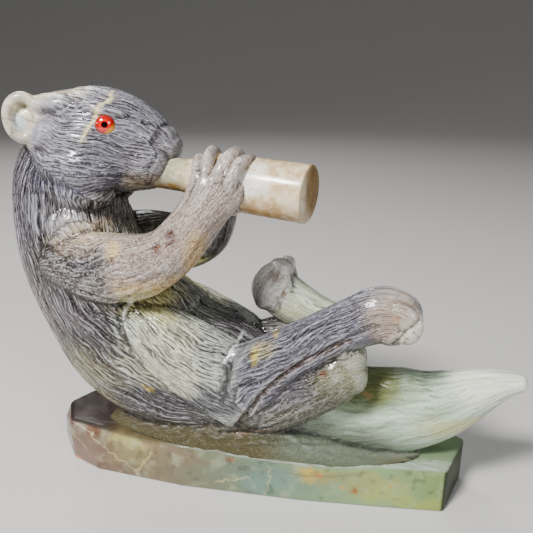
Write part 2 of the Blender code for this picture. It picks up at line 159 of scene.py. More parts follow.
class Limb:
    """A rounded form with elliptical sections along a smooth spine.

    A station is x, y, z, half the height and half the width of the section
    there, all in shares. Widths are measured along the across direction.
    """

    def __init__(self, stations, across=ACROSS_BODY, dome=0.8, locks=0, fur=None):
        path = smooth_path(stations)
        self.centres = path[:, :3]
        self.halves = path[:, 3:]
        self.along = unit(np.gradient(self.centres, axis=0))
        across = np.array(across, dtype=float)
        lean = (self.along @ across)[:, None] * self.along
        self.side = unit(across - lean)
        self.up = np.cross(self.along, self.side)
        self.run = np.append(0, np.cumsum(np.linalg.norm(np.diff(self.centres, axis=0), axis=1)))
        self.dome = dome
        self.locks = locks
        self.fur = fur

    def ring(self, index, slide=0.0, shrink=1.0):
        half_up, half_side = self.halves[index] * shrink
        centre = self.centres[index] + slide * self.along[index]
        upward = np.outer(np.cos(RING_ANGLES) * half_up, self.up[index])
        sideways = np.outer(np.sin(RING_ANGLES) * half_side, self.side[index])
        return centre + (upward + sideways)

    def rings(self):
        """The sections from end to end, with a dome on each end."""
        last = len(self.centres) - 1
        first_dome, last_dome = [], []
        for step in range(1, DOME_RINGS):
            turn = step / DOME_RINGS * math.pi / 2
            for index, sign, dome in ((0, -1, first_dome), (last, 1, last_dome)):
                slide = sign * math.sin(turn) * self.dome * self.halves[index].mean()
                dome.append(self.ring(index, slide, math.cos(turn)))
        body = [self.ring(index) for index in range(last + 1)]
        return first_dome[::-1] + body + last_dome

    def add_to(self, clay):
        tips = []
        for index, sign in ((0, -1), (-1, 1)):
            reach = sign * self.dome * self.halves[index].mean()
            tips.append(self.centres[index] + reach * self.along[index])
        skin_rings(clay, self.rings(), tips)

    def follow(self, points):
        """Each point's distance from the form, its place along and around it, and how far on its end."""
        gaps = (self.centres ** 2).sum(axis=1)[None, :] - 2 * points @ self.centres.T
        index = np.argmin(gaps, axis=1)
        offset = points - self.centres[index]
        half_up, half_side = self.halves[index].T
        up = (offset * self.up[index]).sum(axis=1)
        side = (offset * self.side[index]).sum(axis=1)
        distance = np.abs(np.hypot(up / half_up, side / half_side) - 1) * np.minimum(half_up, half_side)
        turn = np.arctan2(side / half_side, up / half_up)
        along = (offset * self.along[index]).sum(axis=1)
        thick = self.halves[index].mean(axis=1)
        beyond = np.clip(np.abs(along) - self.dome * thick, 0, None)
        on_end = eased(np.abs(along) / thick, 0.15, 0.6)
        return np.hypot(distance, beyond), self.run[index] + along, turn, on_end


def add_bump(clay, centre, halves, turn=(0, 0, 0)):
    """An egg-shaped lump with the given half sizes, turned by degrees about X, Y and Z."""
    place = Matrix.Translation(centre)
    for axis, degrees in zip("XYZ", turn):
        place = place @ Matrix.Rotation(math.radians(degrees), 4, axis)
    place = place @ Matrix.Diagonal((*halves, 1))
    rings = []
    for step in range(1, EGG_RINGS):
        height = math.pi * step / EGG_RINGS
        wide, high = math.sin(height), math.cos(height)
        rings.append([place @ Vector((wide * math.cos(a), wide * math.sin(a), high)) for a in RING_ANGLES])
    skin_rings(clay, rings, (place @ Vector((0, 0, 1)), place @ Vector((0, 0, -1))))


def figure_place():
    """From shares over the slab's top to metres over its underside."""
    return Matrix.Translation((0, 0, slab_thickness)) @ Matrix.Scale(SHARE, 4)


def bottle_point(distance, turn, radius):
    """A point beside the bottle's axis; turn 0 is above it and 90 degrees is on its left."""
    side = (Vector(ACROSS_BODY) - BOTTLE_DIRECTION * BOTTLE_DIRECTION.y).normalized()
    above = BOTTLE_DIRECTION.cross(side)
    angle = math.radians(turn)
    return LIPS + BOTTLE_DIRECTION * distance + radius * (above * math.cos(angle) + side * math.sin(angle))


def bottle_radius(distance):
    """The bottle's radius in shares, at a distance in shares from the lips."""
    neck = bottle_neck_diameter / 2 / SHARE
    body = bottle_diameter / 2 / SHARE
    t = (distance - SHOULDER_START) / (SHOULDER_END - SHOULDER_START)
    t = min(max(t, 0), 1)
    return neck + (body - neck) * (3 * t ** 2 - 2 * t ** 3)


# Fur: distance between strands, their depth, the length of one stroke, and the depth of the locks, in shares
COAT = {
    "back": (1.12, 0.36, 6.5, 0.6),
    "hip": (1.0, 0.32, 5.5, 0.4),
    "head": (0.9, 0.26, 3.4, 0.4),
    "leg": (0.95, 0.24, 4.2, 0.45),
    "calf": (0.95, 0.12, 4.6, 0.2),
    "arm": (1.1, 0.12, 4.2, 0.25),
    "soft": (1.5, 0.1, 8, 0.2),
    "none": (3, 0, 10, 0),
}


# Two layers of strokes: how much finer each is than the distance and length above, and its shift in lanes
STROKE_LAYERS = ((1.0, 0.0), (0.58, 0.3))
# Waves that bend the lanes of strokes: height, and length along the form and around it
SWAY = ((0.9, 7.1, 8), (0.35, 3.3, -5))
WAVER = ((0.3, 2.2, 3), (0.2, 1.3, -1.7))
# Numbers that scatter a key into a value that looks like chance
KEY_SPREAD = 12.9898
SCATTER = 43.7585


def body_limbs():
    """Trunk, neck, head, jaw, muzzle and tail, which lie on the middle plane."""
    trunk = [
        (4, 0, 13, 14, 11),
        (-10, 0, 17, 18.5, 15.5),
        (-24, 0, 20, 22.5, 17),
        (-37, 0, 28.3, 23.8, 17.5),
        (-47.2, 0, 41, 20, 17),
        (-52.6, 0, 53, 18.6, 16),
        (-54.6, 0, 63, 17.6, 14),
        (-54.3, 0, 73, 16.4, 12.6),
        (-51, 0, 81, 14, 12),
    ]
    skull = [
        (-61, 0, 87.6, 10, 8.5),
        (-57, 0, 86.7, 11.8, 12),
        (-50, 0, 85.4, 13.8, 13.8),
        (-43, 0, 85.1, 14.4, 14.2),
        (-36.5, 0, 84.2, 13.4, 12.6),
        (-31, 0, 82.9, 11.6, 10.3),
        (-27, 0, 81.8, 9.6, 8.4),
    ]
    muzzle = [
        (-31, 0, 85, 7.4, 8.4),
        (-27, 0, 84, 6, 7),
        (-24, 0, 83.4, 5.2, 5.8),
        (-21.5, 0, 82.6, 3.9, 4.4),
    ]
    jaw = [(-42, 0, 78, 7, 11), (-34, 0, 77.2, 6, 9), (-28.5, 0, 76.6, 4.6, 7), (-26, 0, 76.6, 3.8, 6)]
    tail = [
        (-5, 1, 11, 13, 10),
        (12, 1, 11, 13.2, 11.5),
        (25, 1, 10.6, 12.3, 11),
        (36, 1, 10.9, 12.6, 10.2),
        (45, 1, 12.3, 12.4, 9),
        (51.5, 1, 14.2, 10.7, 8),
        (57.5, 1, 17.2, 8.8, 7),
        (63.5, 1, 20.8, 6.4, 5.8),
        (69, 1, 23.4, 4.2, 4.4),
        (73.5, 1, 24.6, 2.5, 3),
    ]
    skirt = [
        (-42, 0, -1, 2.4, 6),
        (-32, 0, -1, 5, 9.5),
        (-18, -0.5, -1, 8, 12.6),
        (-4, -1, -1, 9.6, 14),
        (10, -1, -1, 9.6, 14),
        (24, -1, -1, 8, 13),
        (38, -0.5, -1, 4.4, 10),
        (49, 0, -1, 1.4, 6),
    ]
    skirt_front = [
        (-44, -3, -1, 2, 5),
        (-32, -5, -1, 6.4, 7.5),
        (-18, -6.8, -1, 10.2, 8),
        (-6, -7, -1, 12, 7.8),
        (5, -6.6, -1, 12.4, 7.6),
        (14, -6, -1, 11, 7.2),
        (24, -5, -1, 8.4, 7),
        (34, -4, -1, 5, 6.5),
        (46, -3, -1, 1.6, 5),
    ]
    return {
        "trunk": Limb(trunk, dome=0.5, locks=22, fur="back"),
        "skull": Limb(skull, dome=0.25, locks=18, fur="head"),
        "muzzle": Limb(muzzle, dome=0.4, fur="head"),
        "jaw": Limb(jaw, dome=0.3, locks=12, fur="head"),
        "tail": Limb(tail, dome=0.7, fur="soft"),
        "skirt": Limb(skirt, dome=0.5, fur="none"),
        "skirt_front": Limb(skirt_front, dome=0.5, fur="none"),
    }


def arm(side):
    """Shoulder to palm; the palm lies against the bottle on its own side."""
    palm_at, palm_turn, _ = HANDS[side]
    palm = bottle_point(palm_at, side * palm_turn, bottle_radius(palm_at) + 0.9)
    knuckles = bottle_point(palm_at + 0.4, side * (palm_turn - 16), bottle_radius(palm_at) + 0.1)
    stations = [(x, side * y, *rest) for x, y, *rest in UPPER_ARM + ARM_BENDS[side]]
    stations += [(*palm, 7.4, 3), (*knuckles, 6.6, 2)]
    return Limb(stations, dome=0.3, locks=8, fur="arm")


def fingers(side):
    """Four fingers that curl over the bottle: where each lies along it at root, middle and tip."""
    _, palm_turn, tip_turn = HANDS[side]
    lying = [
        (15.4, 14.2, 12.8, -0.9, 1.5),
        (18.4, 17.2, 15.9, 0.7, 1.7),
        (21.6, 22.2, 22.3, 0.5, 2.1),
        (25, 26, 26.7, -0.9, 1.7),
    ]
    for root, middle, tip, lift, half_wide in lying:
        stations = []
        curl = [(root, -0.5, 0.6), (root, 0.07, 1.5), (middle, 0.45, 1.3), (tip, 0.83, lift)]
        curl.append((tip, 1, lift - 0.8))
        for at, share, rise in curl:
            turn = palm_turn + (tip_turn - palm_turn) * share
            point = bottle_point(at, side * turn, bottle_radius(at) + rise)
            stations.append((*point, 2, half_wide))
        yield Limb(stations, across=ALONG_BODY)


def right_leg():
    """The stretched leg: a shin that ends in the forefoot, over a calf that ends in the heel."""
    shin = [
        (0, -11.3, 20, 12.5, 6.6),
        (5, -11.5, 24, 11, 6.6),
        (12, -11.5, 30, 8.5, 6.5),
        (22, -11.5, 37.5, 7, 6),
        (30, -11, 42.4, 6.8, 5.8),
        (36, -10.5, 45, 7.4, 6),
        (40, -10, 45, 6.8, 5.8),
        (42.2, -10, 44.2, 5.6, 5),
    ]
    calf = [
        (-10, -4, 7, 8, 6),
        (0, -7.2, 11.4, 8.4, 6),
        (9, -10.6, 15.8, 8, 6.3),
        (18.5, -12, 22.2, 8, 6.4),
        (26, -12, 27.2, 7.4, 6.1),
        (29.4, -11.7, 28.8, 6.2, 5.3),
    ]
    return {
        "right_shin": Limb(shin, dome=0.4, locks=8, fur="leg"),
        "right_calf": Limb(calf, locks=8, fur="calf"),
    }


def left_leg():
    """The bent leg: thigh to the knee, shin back up to the foot, which stands on its heel."""
    thigh = [(-6, 9, 16, 13, 7), (6, 10.5, 22, 10.5, 6.8), (16, 11, 26, 8.5, 6.4), (25, 11, 30, 7, 6)]
    shin = [(25, 11, 31, 6, 6), (17, 11, 34.2, 6, 5.6), (10, 11, 37.4, 7, 5.8), (5, 11, 40.5, 7.4, 6)]
    foot = [(4.2, 11, 38, 6.6, 6.2), (4.0, 11, 41.5, 7.2, 6.4), (4.8, 11, 45, 6, 6), (6, 11, 48, 3.8, 5)]
    return {
        "left_thigh": Limb(thigh, dome=0.8, locks=8, fur="leg"),
        "left_shin": Limb(shin, dome=0.4, locks=8, fur="soft"),
        "left_foot": Limb(foot, dome=0.6, fur="calf"),
    }


def hip(side):
    """The raised field of fur between the arm and the leg, which runs down towards the slab."""
    stations = [(-32, 7.2, 37, 7, 8), (-26, 9.2, 32.6, 10, 9), (-17, 9.8, 27, 11.4, 9.3),
                (-8, 9.6, 21.8, 12, 9), (1, 8.6, 16, 12, 8)]
    return Limb([(x, side * y, *rest) for x, y, *rest in stations], dome=0.4, locks=12, fur="hip")


def all_limbs():
    limbs = {**body_limbs(), **right_leg(), **left_leg()}
    for name, side in SIDES.items():
        limbs[name + "_arm"] = arm(side)
        limbs[name + "_hip"] = hip(side)
    return limbs


# Within these reaches from its middle the ear has no fur and is shaded less; its edge lies at 1
SMOOTH_EAR = 1.5
PALE_EAR = 1.4
# The reach given to points behind the ear
OFF_EAR = 9


def ear_frame(side):
    """The ear's middle and its facing, upright and forward directions."""
    facing = Vector((0.35, side * 0.93, 0.05)).normalized()
    upright = Vector((0, 0, 1))
    return Vector((-59.2, side * 10.5, 91.4)), facing, upright, (upright.cross(facing) * side).normalized()


def add_ear(clay, side):
    """A round cup: a thin disc with a raised rim, and a ball in it."""
    centre, facing, upright, level = ear_frame(side)
    tall, wide, thick = 5.1, 3.7, 1.75
    rows = []
    for degrees in range(-70, 251, 40):
        angle = math.radians(degrees)
        point = centre + upright * math.cos(angle) * tall + level * math.sin(angle) * wide + facing * 0.3
        rows.append((*point, thick, thick * 1.2))
    Limb(rows, across=facing).add_to(clay)
    lean = math.degrees(math.atan2(-facing.x, facing.y * side)) * side
    add_bump(clay, centre - facing * 1.9, (5, 2.2, 6), (0, 0, lean))
    add_bump(clay, centre - level * 0.6 - upright * 0.5 - facing * 0.1, (2.7, 1.9, 3), (0, 0, lean))


def ear_hollow(points, side):
    """How deep the hollow between the ear's rim and ball goes, and how far each point is from the middle."""
    centre, facing, upright, level = (np.array(part) for part in ear_frame(side))
    offset = points - centre
    across, up = offset @ level / 3.8, offset @ upright / 5.2
    in_front = offset @ facing > -1.6
    reach = np.hypot(across, up)
    ring = np.exp(-((reach - 0.68) / 0.13) ** 2) * in_front
    return 0.4 * ring * np.clip(0.55 + 0.8 * up - 0.3 * across, 0.1, 1), np.where(in_front, reach, OFF_EAR)


def add_face(clay, side):
    """Cheek, brow, root of the ear, lip and nose pad of one side."""
    add_bump(clay, (-46, side * 7.4, 79.6), (13, 8.4, 7.8), (0, 9, 0))
    add_bump(clay, (-36.5, side * 9, 93.8), (6.5, 2.6, 1.7), (0, 12, -side * 14))
    add_bump(clay, (-52.5, side * 7.6, 94.8), (8.5, 4.4, 3), (0, -2, side * 8))
    add_bump(clay, (-28.4, side * 5.4, 80.6), (7, 4.2, 6), (0, 14, -side * 12))
    add_bump(clay, (-48, side * 6.6, 72.4), (11, 7.4, 6.4), (0, 4, 0))
    add_bump(clay, (-22.2, side * 1.4, 83.4), (1.9, 2.5, 3), (0, 20, 0))
    add_bump(clay, (-25.6, side * 1.2, 87.4), (4.6, 3.2, 2.6), (0, 40, 0))
    add_bump(clay, (-23, side * 1.3, 86.2), (2.2, 2.6, 3.4), (0, -28, 0))


def add_shoulder(clay, side):
    """The slope from the upper arm up to the neck."""
    add_bump(clay, (-49, side * 8.3, 59), (9.5, 7.8, 11))


# One toe of each foot: x, z, half the height and half the width
RIGHT_TOE = [(39.5, 47, 3.4, 1.7), (43, 45.6, 3.2, 1.8), (43.8, 42.8, 2.8, 1.7), (41.8, 41.2, 2.4, 1.5)]
LEFT_TOE = [(6, 42, 4.4, 1.5), (6.4, 46, 3.8, 1.5), (7.4, 49.4, 2, 1.2)]


def add_toes(clay):
    """The heel, ball and curled toes of the right foot, and the raised toes of the left foot."""
    add_bump(clay, (29, -11.4, 32.4), (4.8, 5.2, 6))
    add_bump(clay, (39, -10.5, 41.6), (5, 5.2, 4.2))
    for number in range(4):
        for first, apart, toe in ((-14.2, 2.9, RIGHT_TOE), (6.8, 2.8, LEFT_TOE)):
            Limb([(x, first + apart * number, *rest) for x, *rest in toe]).add_to(clay)


# Lines seen from the side, as x and z: the curved ledge before the leg, its rim, the hip's rim, and veins
LEDGE = [(3.2, 36.9), (1, 34.1), (-1.2, 29.8), (-2.4, 25.4), (-3.1, 21.7)]
LEDGE_RIM = [(1.4, 37.3), (-0.9, 34.5), (-2.6, 31.3), (-3.4, 29.5)]
HIP_RIM = [(-28.6, 44.9), (-31.5, 42.6), (-32.2, 40.4), (-31.9, 37.5), (-30.3, 35)]
LEG_VEIN = [(29.5, 40), (18.8, 33.8), (12.8, 28.7), (6.9, 21.9), (2.2, 14), (-1, 8.5)]
SKIRT_VEIN = [(22, 15.5), (14, 10.4), (6, 7.4), (-2, 5.6)]
BROW_VEIN = [(-37.4, 98.4), (-36, 95.9), (-36.9, 93.7), (-37.8, 91.6), (-39.5, 89), (-41, 86.2)]
BROW_VEIN_HALF_WIDTHS = (0.5, 1.0, 1.1, 0.8, 0.6)

# Single cuts seen from the side: path in x and z, depth (a ridge below 0), half width, and side (0 for both)
CUTS = [
    (LEDGE, 0.45, 1.1, 0),
    (LEG_VEIN, 0.8, 0.7, -1),
    ([(15.5, 15.5), (8, 10), (2, 7), (-6, 5.4)], 0.4, 0.6, -1),
    ([(12, 21), (6, 16), (2, 11)], 0.35, 0.5, -1),
    ([(20, 22.5), (13, 17.5), (8, 12.6)], 0.35, 0.5, -1),
    ([(-61.3, 72.6), (-53.1, 72), (-45.2, 70.9), (-38.3, 71.5)], 0.15, 0.8, 0),
    ([(-23.4, 82.4), (-24.9, 79.5), (-26.4, 75.5)], 0.25, 0.5, 0),
    ([(-48, 48.6), (-42, 46.6), (-36, 45.2), (-31, 44.4)], 0.6, 0.7, 0),
    ([(1.1, 23.9), (6.6, 25.6), (11.1, 29.2), (15.5, 32.2)], 0.5, 0.5, -1),
    ([(39.8, 38.8), (42.3, 43.2), (46, 46.7)], 0.7, 0.6, -1),
    ([(42.3, 38.2), (42.9, 41.4)], 0.5, 0.5, -1),
    ([(-54, 55), (-51, 52.6), (-47.5, 50.7), (-43.3, 49.4)], 0.4, 0.9, 0),
    ([(-44.3, 48.2), (-40.6, 52.6), (-36.1, 55.1), (-31.8, 56.8)], 0.5, 1.1, 0),
    ([(-53, 58), (-47, 56.2), (-41, 57.4), (-36, 60)], 0.35, 0.9, 0),
    ([(-41, 46.4), (-33, 48.8), (-25, 51), (-19, 54.4)], 0.35, 0.9, 0),
    ([(-27.2, 90.8), (-25.1, 90), (-22.8, 88.4), (-21, 86.4)], 0.55, 0.4, 0),
    ([(46.4, 41.4), (44.4, 43.4)], 0.6, 0.5, -1),
    ([(-18.8, 49.4), (-29.2, 46.6), (-34.4, 41.8), (-33.8, 37), (-31, 32.4), (-26.6, 27.6)], 0.4, 0.8, 0),
    (HIP_RIM, -0.45, 0.5, 0),
    (LEDGE_RIM, -0.4, 0.45, -1),
]


def distance_to_path(points, path):
    """How far flat points lie from a path of straight pieces."""
    best = np.full(len(points), np.inf)
    for start, end in zip(np.array(path, dtype=float)[:-1], np.array(path, dtype=float)[1:]):
        step = end - start
        share = np.clip(((points - start) @ step) / (step @ step), 0, 1)
        best = np.minimum(best, np.linalg.norm(points - start - share[:, None] * step, axis=1))
    return best


def eased(values, low, high):
    """From 0 at low to 1 at high, eased at both ends."""
    share = np.clip((values - low) / (high - low), 0, 1)
    return share * share * (3 - 2 * share)


class Arrays:
    """Steps of arithmetic on arrays, under the names that a material's values give them."""

    STEPS = {"SINE": np.sin, "ABSOLUTE": np.abs, "ROUND": np.round, "FLOOR": np.floor}
    between = staticmethod(eased)

    @staticmethod
    def through(values, step):
        return np.modf(values)[0] if step == "FRACT" else Arrays.STEPS[step](values)

    @staticmethod
    def clamped(values):
        return np.clip(values, 0, 1)


def strokes(kind, run, arc, pitch, length, finer, shift):
    """Tapered strokes in lanes that run side by side, each from 0 to 1, and the ridges between them.

    The figure is carved with them as Arrays, and the stone's material draws them again as Values.
    """
    def waves(terms):
        long, short = (high * kind.through(run / x + arc / y, "SINE") for high, x, y in terms)
        return long + short

    def chance(key):
        size = kind.through(kind.through(KEY_SPREAD * key, "SINE"), "ABSOLUTE")
        return kind.through(size * SCATTER, "FRACT")

    lane = ((arc + waves(SWAY)) / pitch + shift) / finer + waves(WAVER)
    number = kind.through(lane, "ROUND")
    along = run / length / finer + 7 * chance(number)
    piece = kind.through(along, "FLOOR")
    taper = kind.clamped(1.7 * kind.through(math.pi * (along - piece), "SINE"))
    key = number + 0.7 * piece
    beside = kind.through(lane - number - 0.3 * (chance(key + 0.31) - 0.5), "ABSOLUTE")
    stroke = kind.between(beside, 0.26 + 0.18 * chance(key + 0.17), 0)
    return stroke * taper * (0.25 + 0.75 * chance(key)), kind.between(beside, 0.28, 0.5) * taper


class Coat:
    """Where each point of the figure lies in the fur: its limb, and its place along and around it."""

    def __init__(self, points, limbs):
        self.points = points
        self.names = list(limbs)
        followed = [limb.follow(points) for limb in limbs.values()]
        distances, *places = (np.array(part) for part in zip(*followed))
        self.limb = distances.argmin(axis=0)
        self.run, self.turn, self.on_end = (np.choose(self.limb, part) for part in places)
        self.arc = self.turn * np.array([limb.halves.mean() for limb in limbs.values()])[self.limb]
        distances.partition(1, axis=0)
        self.meeting = np.clip((distances[1] - distances[0]) / 0.8, 0, 1)
        self.locks = np.array([limb.locks for limb in limbs.values()])[self.limb]
        fur = zip(*(COAT[limb.fur] for limb in limbs.values()))
        self.pitch, self.depth, self.length, self.lock_depth = (np.array(part)[self.limb] for part in fur)

    def lock_grooves(self):
        """The broad grooves between locks, as in the solids."""
        wave = 1.1 * np.sin(0.13 * self.run + 2 * self.turn) + 0.6 * np.sin(0.31 * self.run - 3 * self.turn)
        turns = (self.locks * self.turn + wave) / (2 * math.pi)
        strand = np.round(turns)
        groove = np.clip(np.cos(2 * math.pi * (turns - strand)), 0, 1) ** 3
        stroke = np.clip(0.55 + 0.75 * np.sin(0.17 * self.run + 2.4 * strand), 0, 1)
        return groove * stroke * (self.locks > 0) * self.meeting * (1 - self.on_end)

    def strands(self):
        """The carved strands and the finer strokes between them, from 0 to 1."""
        place = self.run, self.arc, self.pitch, self.length
        broad, fine = (strokes(Arrays, *place, *layer)[0] for layer in STROKE_LAYERS)
        return np.maximum(broad, 0.6 * fine)

    def furred(self):
        """The share of its depth that the fur has: less on feet, hands, nose, ears and ends, and low down."""
        x, y, z = self.points.T
        bare = np.clip((x - 30) / 10, 0, 1) * (z > 34)
        hand = (np.hypot(x + 7, z - 76) < 12) * (x > -19)
        nose = np.clip((x + 25) / 4, 0, 1) * (z > 74) * (x < -19)
        neck_slope = eased(np.hypot(x + 47, z - 63), 9, 4)
        ears = [ear_hollow(self.points, side)[1] < SMOOTH_EAR for side in SIDES.values()]
        still = np.clip(1.6 - np.hypot(x + 55, z - 95) / 6.4, 0, 1)
        for path, half_wide in ((LEDGE, 2.2), (LEDGE_RIM, 1.0), (HIP_RIM, 1.0)):
            reach = distance_to_path(self.points[:, [0, 2]], path)
            still = np.maximum(still, eased(reach, half_wide, 0.5 * half_wide) * (y < 0))
        on_arm = np.isin(self.limb, [self.names.index(name) for name in ("right_arm", "left_arm")])
        shoulder = 1 + 0.7 * on_arm * np.clip((-30 - x) / 14, 0, 1)
        smooth = (1 - 0.6 * bare) * (1 - 0.3 * hand) * (1 - 0.4 * nose) * (1 - 0.8 * still)
        smooth *= (1 - 0.3 * neck_slope) * (1 - 0.9 * np.any(ears, axis=0))
        return smooth * shoulder * np.clip(z / 5, 0, 1) * (1 - 0.8 * self.on_end)

    def cuts(self, normals):
        """How deep the single cuts go at each point, in shares."""
        flat, across = self.points[:, [0, 2]], self.points[:, 1]
        facing = np.clip(2 * np.abs(normals[:, 1]), 0, 1)
        depth = np.zeros(len(flat))
        for path, deep, half_wide, side in CUTS:
            reach = np.exp(-(distance_to_path(flat, path) / half_wide) ** 2)
            on_side = 1 if side == 0 else across * side > 0
            cut = deep * reach * facing * on_side * (np.abs(across) > 3)
            depth = np.maximum(depth, cut) if deep > 0 else depth + cut
        return depth


def mesh_points(mesh, what="co"):
    values = np.empty(len(mesh.vertices) * 3)
    mesh.vertices.foreach_get(what, values)
    return values.reshape(-1, 3)


def in_shares(points):
    return (points - np.array(figure_place().translation)) / SHARE


def carve(mesh, limbs):
    """Cuts the locks, the strands and the single cuts into the smoothed figure."""
    points = mesh_points(mesh)
    normals = mesh_points(mesh, "normal")
    shares = in_shares(points)
    coat = Coat(shares, limbs)
    depth = coat.lock_depth * coat.lock_grooves()
    depth += coat.depth * coat.strands() * coat.furred()
    depth += coat.cuts(normals)
    for side in SIDES.values():
        hollow, reach = ear_hollow(shares, side)
        depth = np.where(reach < SMOOTH_EAR, 0.1 * depth, depth) + hollow
    points -= normals * depth[:, None] * SHARE
    low, high = (np.array(corner) for corner in cad_box)
    points = np.clip(points, low + BOX_MARGIN, high - BOX_MARGIN)
    mesh.vertices.foreach_set("co", points.ravel())
    mesh.update()


def new_object(name, data):
    thing = bpy.data.objects.new(name, data)
    bpy.context.scene.collection.objects.link(thing)
    return thing


def evaluated_mesh(thing):
    """The object's mesh with its modifiers applied."""
    graph = bpy.context.evaluated_depsgraph_get()
    graph.update()
    return bpy.data.meshes.new_from_object(thing.evaluated_get(graph))


def apply_modifier(thing, kind, **settings):
    step = thing.modifiers.new(kind.lower(), kind)
    for setting, value in settings.items():
        setattr(step, setting, value)
    thing.data = evaluated_mesh(thing)
    thing.modifiers.clear()


def free_mesh(clay, name):
    """The finished clay as a mesh of this name."""
    mesh = bpy.data.meshes.new(name)
    clay.to_mesh(mesh)
    clay.free()
    return mesh


def rough_figure(limbs):
    """The otter's forms, not yet pressed together."""
    clay = bmesh.new()
    for limb in limbs.values():
        limb.add_to(clay)
    for side in SIDES.values():
        for finger in fingers(side):
            finger.add_to(clay)
        add_ear(clay, side)
        add_face(clay, side)
        add_shoulder(clay, side)
    add_toes(clay)
    bmesh.ops.recalc_face_normals(clay, faces=clay.faces)
    bmesh.ops.transform(clay, matrix=figure_place(), verts=clay.verts)
    return new_object("figure", free_mesh(clay, "figure"))


def model_figure(limbs):
    """The otter alone: pressed together, smoothed, drawn out into a skirt by the slab, and carved."""
    figure = rough_figure(limbs)
    apply_modifier(figure, "REMESH", mode="VOXEL", voxel_size=CLAY_VOXEL)
    apply_modifier(figure, "SMOOTH", factor=0.5, iterations=SMOOTHING_PASSES)
    by_slab = figure.vertex_groups.new(name="by_slab")
    weights = np.round(np.clip((SKIRT_TOP - in_shares(mesh_points(figure.data))[:, 2]) / 4, 0, 1), 1)
    for weight in np.unique(weights)[1:]:
        by_slab.add(np.flatnonzero(weights == weight).tolist(), weight, "REPLACE")
    apply_modifier(figure, "SMOOTH", factor=0.9, iterations=SKIRT_PASSES, vertex_group=by_slab.name)
    carve(figure.data, limbs)
    apply_modifier(figure, "DECIMATE", ratio=min(1, FIGURE_TRIANGLES / (2 * len(figure.data.polygons))))
    return figure


def turned(name, profile, segments):
    """A turned solid about Z; the profile is (radius, height) from top to bottom."""
    mesh = bpy.data.meshes.new(name)
    points = [(radius, 0, height) for radius, height in profile]
    mesh.from_pydata(points, [(k, k + 1) for k in range(len(points) - 1)], [])
    thing = new_object(name, mesh)
    apply_modifier(thing, "SCREW", steps=segments, render_steps=segments, use_merge_vertices=True,
                   merge_threshold=0.001 * MM, use_smooth_shade=True)
    return thing


def make_bottle():
    """Neck, shoulder and body, with a flat end whose rim is rounded."""
    end = bottle_length / SHARE
    radius = bottle_diameter / 2 / SHARE
    rim = bottle_rim_round / SHARE
    profile = [(0, end), ((radius - rim) / 2, end)]
    for step in range(5):
        angle = step / 4 * math.pi / 2
        profile.append((radius - rim + rim * math.sin(angle), end - rim + rim * math.cos(angle)))
    for step in range(SHOULDER_STEPS, -1, -1):
        at = SHOULDER_START + (SHOULDER_END - SHOULDER_START) * step / SHOULDER_STEPS
        profile.append((bottle_radius(at), at))
    profile += [(bottle_radius(0), -NECK_IN_MOUTH), (0, -NECK_IN_MOUTH)]
    bottle = turned("bottle", profile, BOTTLE_SEGMENTS)
    turn = Vector((0, 0, 1)).rotation_difference(BOTTLE_DIRECTION).to_matrix().to_4x4()
    bottle.matrix_world = figure_place() @ Matrix.Translation(LIPS) @ turn
    return bottle


# The slab's plan, as shares of its half length and half depth
SLAB_OUTLINE = [
    (-1, -0.1), (-0.975, -0.48), (-0.9, -0.72), (-0.74, -0.94), (-0.29, -1), (0.27, -0.84), (0.59, -0.68),
    (0.91, -0.5), (1, 0.55), (0.93, 0.72), (0.48, 0.93), (-0.16, 1), (-0.72, 0.87), (-0.93, 0.52),
]
# Where flakes broke off the slab's rough end: a point on each flat in millimetres, and the way it faces
SLAB_CHIPS = [((-61, -6, 12.4), (-0.55, -0.35, 0.8)), ((-58.6, -10, 7), (-0.75, -0.66, 0.1)),
              ((-60.4, -4, 3), (-0.85, -0.2, -0.5)), ((-50, -12.4, 12.9), (-0.1, -0.6, 0.8)),
              ((-58, 9, 12.6), (-0.5, 0.5, 0.7))]


def make_slab():
    """A plate with chipped corners and rounded edges."""
    clay = bmesh.new()
    low, high = ([clay.verts.new((x * slab_length / 2, y * slab_depth / 2, z)) for x, y in SLAB_OUTLINE]
                 for z in (0, slab_thickness))
    clay.faces.new(low)
    clay.faces.new(high)
    for k in range(len(low)):
        clay.faces.new((low[k - 1], low[k], high[k], high[k - 1]))
    bmesh.ops.recalc_face_normals(clay, faces=clay.faces)
    for place, facing in SLAB_CHIPS:
        geom = clay.verts[:] + clay.edges[:] + clay.faces[:]
        flat = {"plane_co": Vector(place) * MM, "plane_no": facing}
        cut = bmesh.ops.bisect_plane(clay, geom=geom, clear_outer=True, **flat)
        edges = [part for part in cut["geom_cut"] if isinstance(part, bmesh.types.BMEdge)]
        bmesh.ops.edgenet_fill(clay, edges=edges)
    bmesh.ops.recalc_face_normals(clay, faces=clay.faces)
    bmesh.ops.bevel(clay, geom=clay.edges[:], offset=slab_edge_round, segments=3, profile=0.5, affect="EDGES")
    return new_object("slab", free_mesh(clay, "slab"))


def join_or_cut(target, tool, operation):
    """Join the tool to the target or cut it out of it, and put the tool away."""
    apply_modifier(target, "BOOLEAN", operation=operation, object=tool, solver="MANIFOLD")
    bpy.data.objects.remove(tool)


def drop_pockets(mesh):
    """Take out the small closed pockets that pressing and joining leave inside the stone."""
    clay = bmesh.new()
    clay.from_mesh(mesh)
    shells, seen = [], set()
    for start in clay.verts:
        if start in seen:
            continue
        seen.add(start)
        shell = [start]
        for point in shell:
            for edge in point.link_edges:
                other = edge.other_vert(point)
                if other not in seen:
                    seen.add(other)
                    shell.append(other)
        shells.append(shell)
    shells.sort(key=len)
    for shell in shells[:-1]:
        bmesh.ops.delete(clay, geom=shell, context="VERTS")
    clay.to_mesh(mesh)
    clay.free()


